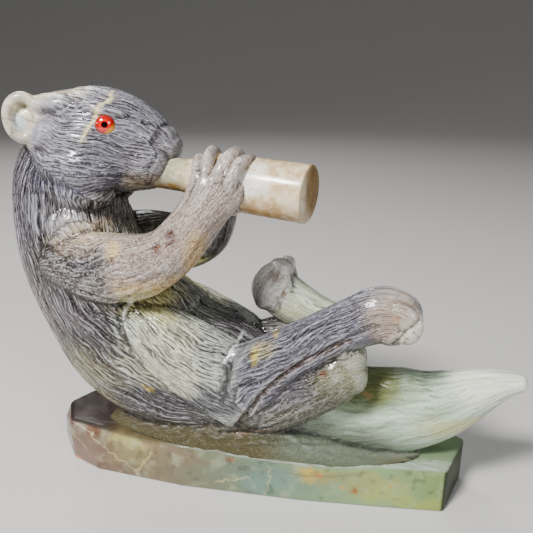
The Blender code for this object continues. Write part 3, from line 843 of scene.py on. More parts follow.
def eye_profile(steps, clearance=0.0):
    """Half section of the glass, or of its socket, from the top of the dome down; back at z = 0."""
    radius = eye_diameter / 2 + clearance
    profile = []
    for step in range(steps + 1):
        angle = step / steps * math.pi / 2
        profile.append((radius * math.sin(angle), eye_girdle + (eye_dome + clearance) * math.cos(angle)))
    profile += [(radius, -clearance), (0, -clearance)]
    return profile


def eye_place(node):
    """Where the solids have this eye: its back, facing out and forward."""
    side = -1 if node == "eye_right" else 1
    facing = Vector((0.36, side * 0.92, 0.14)).normalized()
    low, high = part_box(node)
    middle = (low + high) / 2
    back = middle - facing * (eye_girdle + eye_dome) / 2
    return Matrix.Translation(back) @ facing.to_track_quat("Z", "Y").to_matrix().to_4x4()


def tone(red, green, blue):
    """A colour as it looks on a screen, 0 to 255, as the renderer's numbers."""
    middle = (red + green + blue) / 3
    shown = [min(max(middle + VIVID * (part - middle), 0), 255) / 255 for part in (red, green, blue)]
    return (*(part / 12.92 if part < 0.04045 else ((part + 0.055) / 1.055) ** 2.4 for part in shown), 1)


# The stone on each form: its colour, how strongly the strokes show, and how speckled it is left; on the skirt
# and the far arm the colour is darkened as painted shade
STONE = {
    "trunk": ((62, 57, 60), 1, 0.2),
    "skull": ((142, 140, 150), 1, 0.25),
    "muzzle": ((130, 128, 134), 0.7, 0.4),
    "jaw": ((136, 130, 130), 0.9, 0.3),
    "tail": ((188, 206, 186), 0.18, 0.15),
    # The skirt: olive-grey stone, painted darker as shade under the body
    "skirt": ((72, 68, 48), 0.3, 0.2),
    "skirt_front": ((74, 70, 50), 0.35, 0.2),
    "right_shin": ((104, 103, 116), 0.95, 0.35),
    "right_calf": ((66, 63, 48), 0.4, 0.6),
    "left_thigh": ((110, 107, 104), 0.8, 0.3),
    "left_shin": ((212, 218, 200), 0.3, 0.3),
    "left_foot": ((234, 232, 228), 0.3, 1),
    "right_arm": ((164, 152, 144), 0.45, 1),
    # The far arm: pale grey stone, painted dark as shade
    "left_arm": ((64, 62, 60), 0.6, 0.7),
    "right_hip": ((198, 204, 198), 1, 0.2),
    "left_hip": ((150, 154, 144), 1, 0.2),
}

# Clouds in the otter's stone, with some painted shade and highlights: middle in x, y and z, half sizes,
# colour and strength
CLOUDS = [
    ((-46, -10, 76), (14, 12, 6), (112, 112, 132), 0.7),
    ((-36, -10, 85), (5, 9, 5), (96, 96, 108), 0.6),
    ((-52, -8, 98.5), (9, 7, 3), (214, 202, 176), 0.9),
    ((-60, -10, 91.5), (6.4, 6, 7.5), (248, 236, 210), 0.95),
    ((-59, -12, 90.6), (2.4, 3, 2.8), (214, 220, 230), 0.95),
    ((-25, -2, 84), (6, 8, 6), (124, 122, 128), 0.6),
    ((-29, -4, 74), (6, 8, 5), (176, 160, 134), 0.7),
    ((-64, -8, 66), (6, 14, 14), (104, 100, 110), 0.6),
    ((-58, -12, 66), (4, 9, 5), (176, 180, 190), 0.5),
    ((-34, -6, 62), (6, 9, 9), (150, 148, 128), 0.7),
    # Painted shade on the chest, under the head and between the arms
    ((-38, -4, 68), (10, 10, 6), (92, 86, 80), 0.8),
    # A painted highlight on the shoulder
    ((-48, -14, 65), (7, 8, 5), (196, 194, 198), 0.45),
    ((-62, -10, 34), (9, 16, 12), (118, 106, 104), 0.7),
    ((-50, -14, 40), (10, 12, 6), (120, 112, 116), 0.6),
    ((-46, -14, 18), (14, 12, 12), (134, 128, 96), 0.75),
    ((-18, -16, 30), (15, 12, 13), (210, 214, 190), 0.9),
    ((-23, -15, 45), (12, 12, 5.5), (184, 178, 114), 0.85),
    ((-3, -9, 41), (9, 9, 6), (120, 118, 122), 0.65),
    ((-7, -14, 30), (5, 9, 9), (168, 168, 176), 0.6),
    ((-20, -16, 14.5), (20, 13, 4.6), (42, 37, 44), 0.95),
    ((-5.5, -16, 17.5), (7, 12, 6), (78, 76, 84), 0.85),
    ((33, -12, 31), (3, 8, 6), (150, 164, 140), 0.6),
    ((6, -18, 35.5), (4.5, 6, 4), (180, 172, 132), 0.75),
    ((12, -17, 26), (9, 8, 6), (80, 78, 92), 0.55),
    ((39, -12, 46), (8, 9, 8), (178, 162, 146), 0.85),
    ((44.5, -12, 42), (3, 9, 4), (206, 202, 188), 0.85),
    ((29, -12, 30), (7, 8, 7), (150, 150, 124), 0.7),
    # The skirt's olive stone, painted darker as shade under the body
    ((2, -4, 3), (34, 22, 5), (74, 70, 50), 0.8),
    ((26, -8, 5), (20, 12, 8), (92, 102, 88), 0.85),
    # Olive at the tail's root, painted darker as shade under the foot
    ((34, -4, 22), (12, 12, 6.5), (84, 88, 34), 0.9),
    ((62, 0, 12), (16, 12, 4), (188, 182, 124), 0.7),
    ((66, 0, 24), (13, 9, 6), (238, 242, 228), 0.9),
    ((-14, 0, 42), (9, 8, 8), (160, 166, 148), 0.5),
]
# Clouds, and a painted highlight on the shoulder, that show on the near side alone
NEAR_CLOUDS = [
    # A painted highlight on the shoulder
    ((-40, -14, 63), (7, 8, 3.6), (206, 190, 166), 0.75),
    ((-45, -18, 51), (14, 9, 9), (54, 50, 52), 0.92),
    ((-48, -18, 58), (8, 8, 2.4), (140, 124, 106), 0.6),
    ((-40, -18, 55.5), (6, 8, 2.6), (60, 58, 66), 0.75),
    ((-37, -18, 48.5), (8, 8, 2.4), (112, 104, 98), 0.6),
    ((-32, -19, 58.7), (2.2, 6, 2.8), (214, 192, 142), 0.9),
    ((-17, -18, 50), (14, 8, 4.2), (196, 168, 108), 0.8),
    ((-9.5, -16, 59), (3, 8, 8), (196, 166, 108), 0.8),
    ((-16, -19, 60), (5, 6, 6), (166, 146, 136), 0.5),
]
# Small golden and rusty stains on the near side
NEAR_STAINS = [
    ((5, -18, 32.3), (1, 8, 2), (212, 194, 84), 0.85),
    ((9.5, -18, 38.1), (1.5, 8, 0.8), (208, 192, 104), 0.75),
    ((-25.7, -19, 19), (1.8, 8, 1), (196, 176, 88), 0.8),
    ((-15.2, -19, 64.2), (1.3, 8, 2.2), (78, 44, 28), 1),
    ((-18.7, -19, 61.3), (1.0, 8, 1.6), (92, 58, 40), 0.95),
    ((23.1, -18, 30.3), (0.9, 6, 0.7), (92, 52, 36), 0.9),
    ((39.6, -18, 46.6), (1.1, 8, 0.8), (156, 114, 72), 0.8),
    ((34.2, -12, 19.3), (1.4, 8, 1.1), (168, 132, 98), 0.8),
]
# Clouds and stains on the left foot and shin
FAR_CLOUDS = [
    ((8, 10, 42.5), (1.2, 9, 0.9), (140, 92, 52), 0.8),
    ((6, 8, 47), (3, 6, 2), (112, 92, 74), 0.7),
    ((10, 11, 37), (6, 8, 3), (196, 196, 140), 0.5),
]
# Veins, painted highlights along the hip's rim and the ledge's rim, and a dark band along the ledge, seen
# from the side: path in x and z, half width, colour and strength
VEINS = [
    (BROW_VEIN, 1.3, (196, 190, 170), 0.5),
    # A painted highlight along the hip's rim
    (HIP_RIM, 0.6, (206, 208, 204), 0.6),
    (LEG_VEIN, 1.1, (84, 62, 40), 0.95),
    (SKIRT_VEIN, 0.6, (112, 74, 46), 0.6),
    # A dark band along the ledge
    (LEDGE, 2.4, (96, 100, 102), 0.8),
    # A painted highlight along the ledge's rim
    (LEDGE_RIM, 0.8, (226, 228, 230), 0.85),
]

# Clouds in the bottle, with painted shade underneath and a painted highlight on top: place along it and below
# its axis, half sizes, colour and strength
BOTTLE_CLOUDS = [
    (2, 0, (8, 9, 9), (158, 158, 138), 0.9),
    # Amber of the stone underneath, painted darker as shade
    (3, 4.6, (10, 9, 2.6), (140, 108, 60), 0.95),
    (29, 6.4, (14, 12, 2.8), (142, 112, 72), 0.85),
    (33, 3.4, (5, 12, 2.4), (170, 136, 84), 0.6),
    # A painted highlight on top of the body
    (27.5, -2, (5, 22, 3.8), (255, 254, 248), 0.95),
]

# The slab's bands from its back end, at 0, to its front end, at 1
SLAB_BANDS = [(0.0, (84, 66, 56)), (0.12, (114, 92, 78)), (0.28, (120, 106, 84)), (0.4, (112, 112, 92)),
              (0.55, (108, 128, 110)), (0.8, (138, 160, 124)), (1.0, (112, 130, 78))]
# Clouds in the slab, and a painted dark reflection on its left end: middle, half sizes, colour and strength
SLAB_CLOUDS = [
    ((-34, -15, -8), (7, 6, 4), (140, 138, 96), 0.5),
    ((-46, -13, -4), (9, 6, 3), (92, 78, 68), 0.55),
    ((-38, -14, -12), (12, 6, 2.6), (94, 80, 68), 0.5),
    ((-24, -14, -11), (8, 6, 3), (92, 84, 66), 0.5),
    ((-5, -15, -7), (12, 6, 5), (100, 110, 100), 0.5),
    ((-14, -15, -2.6), (10, 6, 1.8), (112, 92, 78), 0.6),
    ((-34, -16, -2.6), (6, 6, 2), (188, 188, 124), 0.6),
    ((48, -12, -11), (16, 8, 3), (166, 172, 88), 0.7),
    ((10, -14, -8), (9, 6, 4), (120, 150, 148), 0.5),
    ((24, -14, -4), (8, 6, 3), (188, 164, 60), 0.55),
    ((38, -12, -6), (9, 6, 4), (180, 160, 66), 0.45),
    ((62.5, 3, -6), (1.6, 12, 9), (92, 108, 62), 0.85),
    # A painted dark reflection on the polished left end
    ((-62, -7, -6), (3, 5, 6), (52, 40, 36), 0.9),
    ((-59, -9, -13), (5, 6, 1.5), (190, 104, 16), 0.95),
]
# Round spots on the slab's near side: middle, half size and colour
SLAB_SPOTS = [
    ((20, -14, -4), 3, (196, 172, 84)),
    ((22.5, -14, -4.5), 1.1, (204, 142, 48)),
    ((32, -13, -9), 1, (150, 100, 44)),
    ((29, -13, -8), 0.9, (178, 144, 66)),
    ((-2.6, -15, -2), 1.3, (128, 96, 70)),
    ((42, -12, -6.5), 0.8, (178, 144, 62)),
]
# Pale veins in the slab: start and end in x and z, and half width
SLAB_VEINS = [
    ((-48, -2), (-33, -12), 0.5), ((-33, -12), (-27, -4), 0.5), ((-33, -12), (-31, -14.5), 0.5),
    ((9, -3), (7, -14), 0.4), ((-8, -11), (2, -8), 0.4), ((-58, -4), (-50, -8), 0.4),
]


def drift(points, size, reach, seed=0.0):
    """A slow wander of up to about reach, for points in shares."""
    shift = Vector((seed, 2 * seed, 3 * seed))
    return reach * np.array([noise.noise_vector(Vector(point) / size + shift) for point in points])


def lay_over(colours, cover, shade):
    """Mix a shade into the colours, as far as cover says."""
    cover = cover[:, None]
    colours[:] = colours * (1 - cover) + np.array(tone(*shade)) * cover


def cloud_over(colours, points, clouds):
    for middle, halves, shade, strength in clouds:
        reach = np.linalg.norm((points - np.array(middle)) / np.array(halves), axis=1)
        lay_over(colours, strength * eased(reach, 1.35, 0.55), shade)


def stone_colours(points, ground):
    """The colour of the otter's stone at each point, without its strokes; some of its clouds and lines are
    painted shade and highlights.
    """
    colours = ground.copy()
    folded = points * (1, -1, 1)
    folded[:, 1] = -np.abs(points[:, 1])
    frayed = drift(points, 1.7, 0.8)
    wandering = frayed + drift(points, 9, 3.2, 5.3)
    cloud_over(colours, folded + wandering, CLOUDS)
    cloud_over(colours, points + 0.8 * wandering, NEAR_CLOUDS)
    cloud_over(colours, points + 0.8 * frayed, NEAR_STAINS)
    cloud_over(colours, points + frayed, FAR_CLOUDS)
    near_side = eased(points[:, 1], -1, -3)
    flat = (points + 0.7 * frayed)[:, [0, 2]]
    broken = 0.85 + 0.15 * np.sin(points[:, 0] * 1.7)
    for path, half_wide, shade, strength in VEINS:
        line = eased(distance_to_path(flat, path), half_wide, 0.25 * half_wide)
        lay_over(colours, strength * broken * near_side * line, shade)
    return colours


def part_of_faces(mesh):
    """Which piece of the block each face belongs to: 0 the otter, 1 the bottle, 2 the slab."""
    centres = np.empty(len(mesh.polygons) * 3)
    mesh.polygons.foreach_get("center", centres)
    centres = in_shares(centres.reshape(-1, 3))
    offset = centres - np.array(LIPS)
    at = offset @ np.array(BOTTLE_DIRECTION)
    off_axis = np.linalg.norm(offset - at[:, None] * np.array(BOTTLE_DIRECTION), axis=1)
    radius = np.array([bottle_radius(value) for value in at])
    end = bottle_length / SHARE
    wall = (np.abs(off_axis - radius) < 0.1) & (at > -NECK_IN_MOUTH) & (at < end)
    cap = (at > end - 1) & (off_axis < radius + 0.1)
    part = np.where(wall | cap, 1, 0)
    part[centres[:, 2] < 0.02] = 2
    return part


def add_values(mesh, name, kind, domain, values):
    """Keeps a value at each point or face, for the material to read."""
    layer = mesh.attributes.new(name, kind, domain)
    field = {"FLOAT": "value", "FLOAT_VECTOR": "vector", "FLOAT_COLOR": "color"}[kind]
    layer.data.foreach_set(field, np.asarray(values, dtype=np.float32).ravel())


def blurred(mesh, values, passes):
    """Values at points, each evened out with its neighbours."""
    edges = np.empty(len(mesh.edges) * 2, dtype=np.int64)
    mesh.edges.foreach_get("vertices", edges)
    one, other = edges.reshape(-1, 2).T
    count = np.bincount(one, minlength=len(values)) + np.bincount(other, minlength=len(values))
    for _ in range(passes):
        total = np.zeros_like(values)
        for column in range(values.shape[1]):
            total[:, column] = np.bincount(one, values[other, column], len(values))
            total[:, column] += np.bincount(other, values[one, column], len(values))
        values = 0.4 * values + 0.6 * total / np.maximum(count, 1)[:, None]
    return values


def relief(mesh, passes, full):
    """From -1 on a crest to 1 in a hollow, where full is the height that counts as 1, in shares."""
    points = in_shares(mesh_points(mesh))
    rise = ((blurred(mesh, points, passes) - points) * mesh_points(mesh, "normal")).sum(axis=1)
    return np.clip(rise / full, -1, 1)


# How far the grain on one form lies from that on the next
FLOW_APART = 40
# How often colours are evened out across the edges of the forms
COLOUR_PASSES = 14


def note_stone(mesh, limbs):
    """Leaves on the mesh what the stone's material needs to know of the carving."""
    points = in_shares(mesh_points(mesh))
    coat = Coat(points, limbs)
    shades, *shares = zip(*(STONE[name] for name in coat.names))
    ground = np.array([tone(*shade) for shade in shades])[coat.limb]
    brushed, speckled = (np.array(share)[coat.limb] for share in shares)
    brushed = np.minimum(brushed * coat.furred(), 1)
    soft = blurred(mesh, np.column_stack([ground, brushed, speckled]), COLOUR_PASSES)
    colours = stone_colours(points, soft[:, :4])
    add_values(mesh, "ground", "FLOAT_COLOR", "POINT", colours)
    add_values(mesh, "brushed", "FLOAT", "POINT", soft[:, 4])
    add_values(mesh, "speckled", "FLOAT", "POINT", soft[:, 5])
    # How hollow or raised the surface is, for painted shade in hollows and painted highlights on crests
    hollow = 0.6 * relief(mesh, 3, 0.1) + 0.6 * relief(mesh, 14, 0.4)
    for side in SIDES.values():
        hollow[ear_hollow(points, side)[1] < PALE_EAR] *= 0.45
    add_values(mesh, "hollow", "FLOAT", "POINT", hollow)
    flow = np.column_stack([coat.run, coat.arc, FLOW_APART * coat.limb])
    add_values(mesh, "flow", "FLOAT_VECTOR", "POINT", flow)
    lanes = np.column_stack([coat.pitch, coat.length, np.zeros(len(points))])
    add_values(mesh, "lanes", "FLOAT_VECTOR", "POINT", lanes)
    part = part_of_faces(mesh)
    add_values(mesh, "is_bottle", "FLOAT", "FACE", part == 1)
    add_values(mesh, "is_slab", "FLOAT", "FACE", part == 2)
    mesh.polygons.foreach_set("use_smooth", part != 2)
    mesh.set_sharp_from_angle(angle=math.radians(60))


class Value:
    """A number, colour or vector in a material; sums of numbers are written as in Python."""

    def __init__(self, finish, socket):
        self.finish = finish
        self.socket = socket

    def number(self, operation, *terms):
        return self.finish.node("ShaderNodeMath", {"operation": operation}, dict(enumerate(terms)))

    def __add__(self, other):
        return self.number("ADD", self, other)

    def __sub__(self, other):
        return self.number("SUBTRACT", self, other)

    def __rsub__(self, other):
        return self.number("SUBTRACT", other, self)

    def __mul__(self, other):
        return self.number("MULTIPLY", self, other)

    def __truediv__(self, other):
        return self.number("DIVIDE", self, other)

    __radd__ = __add__
    __rmul__ = __mul__

    def through(self, step):
        """This number put through a step of arithmetic that takes no other."""
        return self.number(step, self)

    def between(self, low, high):
        """From 0 at low to 1 at high, eased at both ends."""
        sockets = {"Value": self, "From Min": low, "From Max": high}
        return self.finish.node("ShaderNodeMapRange", {"interpolation_type": "SMOOTHSTEP"}, sockets)

    def clamped(self):
        return self.finish.node("ShaderNodeClamp", None, {"Value": self})

    def part(self, axis):
        """X, Y or Z of a vector."""
        return self.finish.node("ShaderNodeSeparateXYZ", None, {0: self}, axis)


class Finish:
    """A material of its own name, built from nodes."""

    def __init__(self, name, **settings):
        self.material = bpy.data.materials.new(name)
        self.material.use_nodes = True
        self.tree = self.material.node_tree
        self.shader = self.tree.nodes["Principled BSDF"]
        for socket, value in settings.items():
            self.shader.inputs[socket.replace("_", " ")].default_value = value

    def node(self, kind, settings=None, sockets=None, out=0):
        """Any node: its settings first, then the values or links of its sockets."""
        made = self.tree.nodes.new(kind)
        for name, setting in (settings or {}).items():
            if name == "stops":
                ramp = made.color_ramp.elements
                while len(ramp) < len(setting):
                    ramp.new(1)
                for element, (place, colour) in zip(ramp, setting):
                    element.position = place
                    element.color = colour
            else:
                setattr(made, name, setting)
        for name, value in (sockets or {}).items():
            if isinstance(value, Value):
                self.tree.links.new(value.socket, made.inputs[name])
            else:
                made.inputs[name].default_value = value
        return Value(self, made.outputs[out])

    def vector(self, operation, *terms, out=0):
        return self.node("ShaderNodeVectorMath", {"operation": operation}, dict(enumerate(terms)), out)

    def mix(self, share, plain, coloured, blend="MIX"):
        settings = {"data_type": "RGBA", "blend_type": blend}
        return self.node("ShaderNodeMix", settings, {0: share, 6: plain, 7: coloured}, out=2)

    def scaled(self, vector, size):
        return self.node("ShaderNodeVectorMath", {"operation": "SCALE"}, {0: vector, 3: size})

    def grain(self, where, scale, detail, out=0):
        return self.node("ShaderNodeTexNoise", None, {"Vector": where, "Scale": scale, "Detail": detail}, out)

    def streaks(self, where, stretch, detail):
        """Grain drawn out along the directions in which stretch is small."""
        return self.grain(self.vector("MULTIPLY", where, stretch), 1.0, detail)

    def wander(self, where, scale, detail, reach):
        """A slow wander either way, by up to half of reach."""
        colour = self.grain(where, scale, detail, "Color")
        return self.scaled(self.vector("SUBTRACT", colour, (0.5, 0.5, 0.5)), reach)

    def kept(self, name, out="Fac"):
        """A value that the mesh keeps at its points or faces."""
        return self.node("ShaderNodeAttribute", {"attribute_name": name}, None, out)

    def spot(self, where, centre, halves, soft=0.5):
        """1 inside an egg shape, 0 outside it."""
        offset = self.vector("SUBTRACT", where, centre)
        reach = self.vector("LENGTH", self.vector("DIVIDE", offset, halves), out="Value")
        return reach.between(1 + soft, 1 - soft)

    def vein(self, where, start, end, half_wide):
        """1 along the line from start to end, 0 away from it."""
        step = Vector(end) - Vector(start)
        offset = self.vector("SUBTRACT", where, start)
        share = self.vector("DOT_PRODUCT", offset, step / step.length_squared, out="Value")
        nearest = self.scaled(step, share.clamped())
        reach = self.vector("LENGTH", self.vector("SUBTRACT", offset, nearest), out="Value")
        return reach.between(half_wide, 0.2 * half_wide)

    def wear(self, **links):
        for socket, value in links.items():
            self.tree.links.new(value.socket, self.shader.inputs[socket.replace("_", " ")])

    def bump(self, height):
        """Height in millimetres."""
        return self.node("ShaderNodeBump", None, {"Height": height, "Distance": MM, "Strength": 1.0})


def stone_finish():
    """Banded amazonite: brushed where it is carved as fur, polished on the bottle, tail and slab; shade in
    its grooves and hollows and highlights on its ridges are painted.
    """
    finish = Finish("amazonite", Coat_Roughness=0.12, IOR=1.55, Specular_IOR_Level=0.2)
    shown = finish.node("ShaderNodeTexCoord", None, None, "Object")
    here = finish.vector("MULTIPLY_ADD", shown, (1 / SHARE,) * 3, (0, 0, -slab_thickness / SHARE))
    is_bottle = finish.kept("is_bottle")
    is_slab = finish.kept("is_slab")
    carved = 1 - is_bottle - is_slab
    brushed = finish.kept("brushed") * carved
    speckled = finish.kept("speckled") * carved
    hollow = finish.kept("hollow")
    flow = finish.kept("flow", "Vector")
    lanes = finish.kept("lanes", "Vector")
    loose = finish.vector("ADD", flow, finish.scaled(finish.grain(here, 0.22, 1, "Color"), 3))
    long_strokes = finish.streaks(loose, (0.15, 0.95, 1), 2)
    short_strokes = finish.streaks(loose, (0.34, 1.9, 1), 1)
    specks = finish.streaks(loose, (1.5, 3.2, 1), 2)
    patches = 0.45 + 0.55 * finish.streaks(loose, (0.12, 0.3, 1), 2).between(0.4, 0.55)
    silk = finish.streaks(flow, (0.06, 0.7, 1), 4)
    grain = finish.grain(here, 1.7, 3)
    place = flow.part("X"), flow.part("Y"), lanes.part("X"), lanes.part("Y")
    (line, crest), (fine_line, glint) = (strokes(Value, *place, *layer) for layer in STROKE_LAYERS)
    skirt = here.part("Z").between(9.0, 4.0) * carved
    silky = carved * (1 - 0.75 * brushed) * (1 - 0.8 * skirt)

    colour = finish.kept("ground", "Color")
    for share, shade, blend in (
        # Pale brushed streaks, partly a painted sheen
        (silk.between(0.5, 0.66) * 0.7 * silky, (0.36, 0.36, 0.34, 1), "DODGE"),
        (silk.between(0.48, 0.34) * 0.6 * silky, tone(150, 150, 140), "MULTIPLY"),
        (brushed * long_strokes.between(0.52, 0.36) * 0.6, tone(128, 122, 126), "MULTIPLY"),
        # Painted shade in the grooves of the strokes
        (brushed * line * patches * 0.95, tone(62, 56, 62), "MULTIPLY"),
        (brushed * fine_line * 0.85, tone(84, 76, 82), "MULTIPLY"),
        # Painted highlights on the ridges between strokes, and painted glints
        (brushed * crest * long_strokes.between(0.44, 0.62) * 0.3, tone(232, 234, 242), "MIX"),
        (brushed * glint * short_strokes.between(0.46, 0.62) * 0.25, tone(244, 244, 250), "MIX"),
        # Painted shade in hollows, and painted highlights on crests
        (hollow.between(0.0, 0.9) * carved * 0.8, tone(96, 88, 92), "MULTIPLY"),
        (hollow.between(-0.35, -1.0) * (carved - skirt) * 0.22, tone(226, 226, 228), "MIX"),
        (specks.between(0.54, 0.64) * 0.3 * speckled, tone(240, 234, 228), "MIX"),
        (specks.between(0.48, 0.36) * 0.6 * speckled, tone(136, 116, 104), "MULTIPLY"),
        (grain.between(0.42, 0.3) * 0.4, tone(176, 168, 160), "MULTIPLY"),
        (brow_vein(finish, here, grain) * carved, tone(240, 232, 190), "MIX"),
    ):
        colour = finish.mix(share, colour, shade, blend)
    bottle, bottle_end = bottle_colour(finish, here)
    slab, slab_rough, slab_dull = slab_colour(finish, here)
    colour = finish.mix(is_slab, finish.mix(is_bottle, colour, bottle), slab)

    rough = 0.26 - 0.12 * crest * brushed + 0.2 * line * brushed + 0.4 * (specks - 0.5) * speckled
    rough = rough * carved + is_bottle * (0.2 + 0.3 * bottle_end) + is_slab * slab_rough
    rough = rough + 0.3 * skirt - 0.06 * silky
    height = (long_strokes * 0.4 + short_strokes * 0.2 - line * 0.24 - fine_line * 0.2) * brushed
    height = height + (specks * 0.16 + grain * 0.1) * (speckled + 0.5 * is_bottle) + silk * 0.25 * silky
    coat = 0.65 - 0.55 * (is_slab * slab_dull + is_bottle * bottle_end) - 0.65 * skirt
    finish.wear(Base_Color=colour, Roughness=rough, Coat_Weight=coat, Normal=finish.bump(height))
    return finish.material


def brow_vein(finish, here, grain):
    """1 in the pale vein across the near brow, 0 off it."""
    frayed = finish.vector("ADD", here, finish.grain(here, 0.9, 3, "Color"))
    flat = finish.vector("MULTIPLY", frayed, (1, 0, 1))
    vein = 0
    for start, end, half_wide in zip(BROW_VEIN, BROW_VEIN[1:], BROW_VEIN_HALF_WIDTHS):
        start, end = ((x + 0.5, 0, z + 0.5) for x, z in (start, end))
        vein = finish.vein(flat, start, end, half_wide) + vein
    return (vein * grain.between(0.36, 0.52) * here.part("Y").between(-1.0, -2.0)).clamped()


def bottle_colour(finish, here):
    """Cream stone with a painted highlight on top, amber underneath and darkened there as painted shade, with
    a streaked end also darkened as painted shade; and where that end is.
    """
    near = finish.vector("ADD", here, finish.wander(here, 0.35, 2, 6.0))
    mottle = finish.grain(here, 0.45, 3)
    colour = finish.mix(mottle.between(0.36, 0.6), tone(196, 176, 140), tone(224, 210, 184))
    for at, below, halves, shade, strength in BOTTLE_CLOUDS:
        middle = LIPS + BOTTLE_DIRECTION * at - Vector((0, 0, below))
        colour = finish.mix(finish.spot(near, middle, halves) * strength, colour, tone(*shade))
    middle = LIPS + BOTTLE_DIRECTION * (bottle_length / SHARE + 1)
    end = finish.spot(here, middle, (1.6, 9, 9), 0.3)
    streaks = finish.streaks(near, (1, 0.5, 0.16), 3)
    # The end's amber-brown streaks, painted darker as shade where the end faces away from the lamps
    end_colour = finish.mix(streaks.between(0.38, 0.6), tone(108, 78, 34), tone(142, 118, 76))
    colour = finish.mix(end, colour, end_colour)
    pearl = finish.streaks(near, (0.4, 0.4, 1.1), 4)
    colour = finish.mix(pearl.between(0.42, 0.3) * 0.4, colour, tone(150, 132, 108))
    return finish.mix(pearl.between(0.52, 0.7) * 0.35 * (1 - end), colour, tone(240, 234, 220)), end


def slab_colour(finish, here):
    """Clouded green stone, brown at the back end, with rusty stains; painted shade on its right end and on
    the top at the back end, and a painted dark reflection on its left end; its roughness, and where it is
    dull.
    """
    near = finish.vector("ADD", here, finish.wander(here, 0.5, 4, 3.4))
    clouded = finish.vector("ADD", near, finish.wander(here, 0.12, 2, 14.0))
    ends = {"Value": clouded.part("X"), "From Min": -62.0, "From Max": 62.0}
    stops = [(place, tone(*shade)) for place, shade in SLAB_BANDS]
    share = finish.node("ShaderNodeMapRange", None, ends)
    colour = finish.node("ShaderNodeValToRGB", {"stops": stops}, {0: share})
    for middle, halves, shade, strength in SLAB_CLOUDS:
        colour = finish.mix(finish.spot(clouded, middle, halves) * (0.75 * strength), colour, tone(*shade))
    for middle, half, shade in SLAB_SPOTS:
        colour = finish.mix(finish.spot(near, middle, (half, 6, half)) * 0.9, colour, tone(*shade))
    flat = finish.vector("MULTIPLY", near, (1, 0, 1))
    for start, end, half_wide in SLAB_VEINS:
        start, end = ((x, 0, z) for x, z in (start, end))
        colour = finish.mix(finish.vein(flat, start, end, half_wide) * 0.4, colour, tone(206, 196, 144))
    pale, dark = finish.grain(here, 0.22, 4), finish.grain(here, 0.3, 4)
    colour = finish.mix(pale.between(0.5, 0.7) * 0.35, colour, tone(176, 182, 156))
    colour = finish.mix(dark.between(0.46, 0.3) * 0.5, colour, tone(140, 136, 122), "MULTIPLY")
    brushing = finish.streaks(here, (0.16, 1.6, 1.6), 3)
    top = here.part("Z").between(-0.9, -0.2)
    # The right end: its olive stone painted dark as shade where it faces away from the lamps
    end = finish.vector("DOT_PRODUCT", here, (0.947, -0.327, 0), out="Value").between(55.4, 56.2)
    colour = finish.mix(end, colour, tone(42, 48, 28))
    back = clouded.part("X").between(-26, -46)
    along = near.part("X")
    from_edge = near.part("Y") + 15.5 - (along + 18) * 0.05 - (along + 18) * (along + 18) * 0.0007
    strip = from_edge.between(5.5, 3.0) * along.between(-26, -6)
    by_tail = finish.mix(along.between(8, 44), tone(80, 76, 54), tone(116, 130, 108))
    # The top at the back end: brown stone painted dark as shade
    rough_end_and_shade = finish.mix(finish.grain(here, 0.16, 5).between(0.42, 0.7), tone(24, 22, 24), tone(56, 52, 50))
    colour = finish.mix(top * back * 0.9, colour, rough_end_and_shade)
    colour = finish.mix(top * (1 - back) * 0.85, colour, by_tail)
    colour = finish.mix(top * strip * (brushing.between(0.4, 0.62) * 0.6 + 0.3), colour, tone(172, 180, 172))
    return colour, 0.18 + top * 0.25 + end * 0.4, end + top * 0.9


def glass_finish():
    """Red glass over a black pupil, its lower edge painted golden as light shining through, and glowing
    faintly as painted light.
    """
    # The glass glows faintly: painted light
    finish = Finish("red_glass", Roughness=0.05, Coat_Weight=1.0, Coat_Roughness=0.02, IOR=1.5,
                    Emission_Strength=0.04)
    out = finish.kept("from_middle")
    low = finish.kept("glow")
    colour = finish.mix(out.between(0.25, 0.95), tone(200, 0, 0), tone(130, 0, 4))
    colour = finish.mix(low.between(0.55, 1.0) * out.between(0.3, 0.7), colour, tone(244, 170, 30))
    colour = finish.mix(out.between(0.36, 0.28), colour, tone(4, 1, 2))
    colour = finish.mix(out.between(0.92, 0.99) * 0.6, colour, tone(190, 130, 110))
    finish.wear(Base_Color=colour, Emission_Color=colour)
    return finish.material


def make_eye(node):
    """The domed glass of one eye."""
    eye = turned("glass_" + node, eye_profile(14), EYE_SEGMENTS)
    radius = eye_diameter / 2
    points = mesh_points(eye.data) / radius
    add_values(eye.data, "from_middle", "FLOAT", "POINT", np.hypot(points[:, 0], points[:, 1]))
    place = eye_place(node)
    # Where light shining through the glass is painted golden: towards the lower front
    down = np.array(place.to_3x3().inverted() @ Vector((0.7, 0, -0.7)))
    add_values(eye.data, "glow", "FLOAT", "POINT", np.clip(points @ down, 0, 1))
    eye.data.transform(place)
    return eye


def make_floor():
    """A plain round floor that turns up smoothly all around the carving."""
    turn_starts, turn_radius, wall_top, steps, segments = 1.2, 1.6, 2.4, 24, 96
    profile = [(turn_starts + turn_radius, wall_top)]
    for step in range(steps, -1, -1):
        angle = step / steps * math.pi / 2
        profile.append((turn_starts + turn_radius * math.sin(angle), turn_radius * (1 - math.cos(angle))))
    profile.append((0, 0))
    floor = turned("floor", profile, segments)
    finish = Finish("pale_floor", Base_Color=tone(206, 205, 203), Roughness=0.85)
    floor.data.materials.append(finish.material)


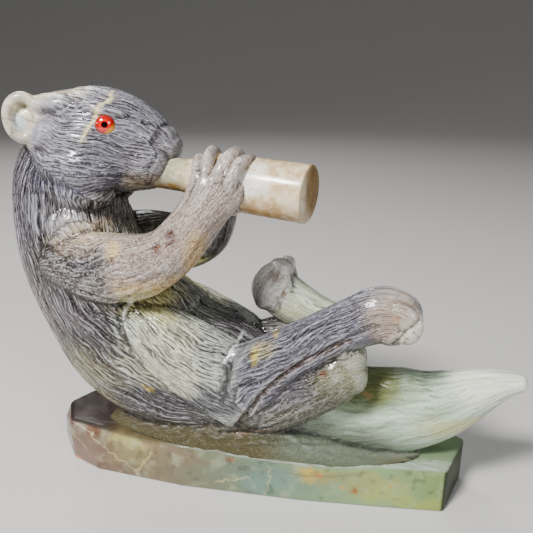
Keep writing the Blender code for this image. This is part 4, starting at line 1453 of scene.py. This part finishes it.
# Soft square lamps: name, place and side in metres, power and colour
LAMPS = [
    ("key", (-0.21, -0.45, 0.60), 0.14, 10, (1, 0.98, 0.95)),
    ("side", (-0.55, -0.32, 0.30), 0.14, 0.5, (0.96, 0.98, 1)),
    ("fill", (0.45, -0.42, 0.40), 0.16, 1.4, (0.94, 0.97, 1)),
    ("back", (-0.50, 0.50, 0.70), 0.3, 2.4, (1, 1, 1)),
]
LAMPS_AIM = Vector((0, 0, 60 * MM))

# The camera as found from the photo: place and lens in millimetres, tilt down and swing in degrees
CAMERA_PLACE = Vector((39.76, -142.85, 114.9))
CAMERA_LENS = 37.8
CAMERA_TILT = 18.42
CAMERA_SWING = 14


def face_along(thing, direction):
    """Turns a lamp or camera to look along a direction."""
    thing.rotation_euler = direction.to_track_quat("-Z", "Y").to_euler()


def light_and_view():
    scene = bpy.context.scene
    world = bpy.data.worlds.new("studio")
    world.use_nodes = True
    background = world.node_tree.nodes["Background"]
    background.inputs["Color"].default_value = tone(226, 228, 232)
    background.inputs["Strength"].default_value = 0.11
    scene.world = world
    for name, place, size, power, colour in LAMPS:
        lamp = bpy.data.lights.new(name, "AREA")
        lamp.size = size
        lamp.energy = power
        lamp.color = colour
        thing = new_object(name, lamp)
        thing.location = place
        face_along(thing, LAMPS_AIM - thing.location)

    camera = bpy.data.cameras.new("camera")
    camera.sensor_width = 36
    camera.lens = CAMERA_LENS
    camera.clip_start = 0.01
    viewer = new_object("camera", camera)
    viewer.location = CAMERA_PLACE * MM
    tilt, swing = math.radians(CAMERA_TILT), math.radians(CAMERA_SWING)
    level = math.cos(tilt)
    face_along(viewer, Vector((-math.sin(swing) * level, math.cos(swing) * level, -math.sin(tilt))))
    scene.camera = viewer


noise.seed_set(DRIFT_SEED)
limbs = all_limbs()
carving = model_figure(limbs)
carving.name = "carved_otter"
for piece in (make_bottle(), make_slab()):
    join_or_cut(carving, piece, "UNION")
glass = glass_finish()
for node in ("eye_right", "eye_left"):
    socket = turned("socket", eye_profile(8, socket_gap), EYE_SEGMENTS)
    socket.data.transform(eye_place(node))
    join_or_cut(carving, socket, "DIFFERENCE")
    eye = make_eye(node)
    eye.data.materials.append(glass)
    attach(eye, "root")
    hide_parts(node)
drop_pockets(carving.data)
note_stone(carving.data, limbs)
carving.data.materials.clear()
carving.data.materials.append(stone_finish())
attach(carving, "root")
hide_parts("otter_carving")

make_floor()
light_and_view()
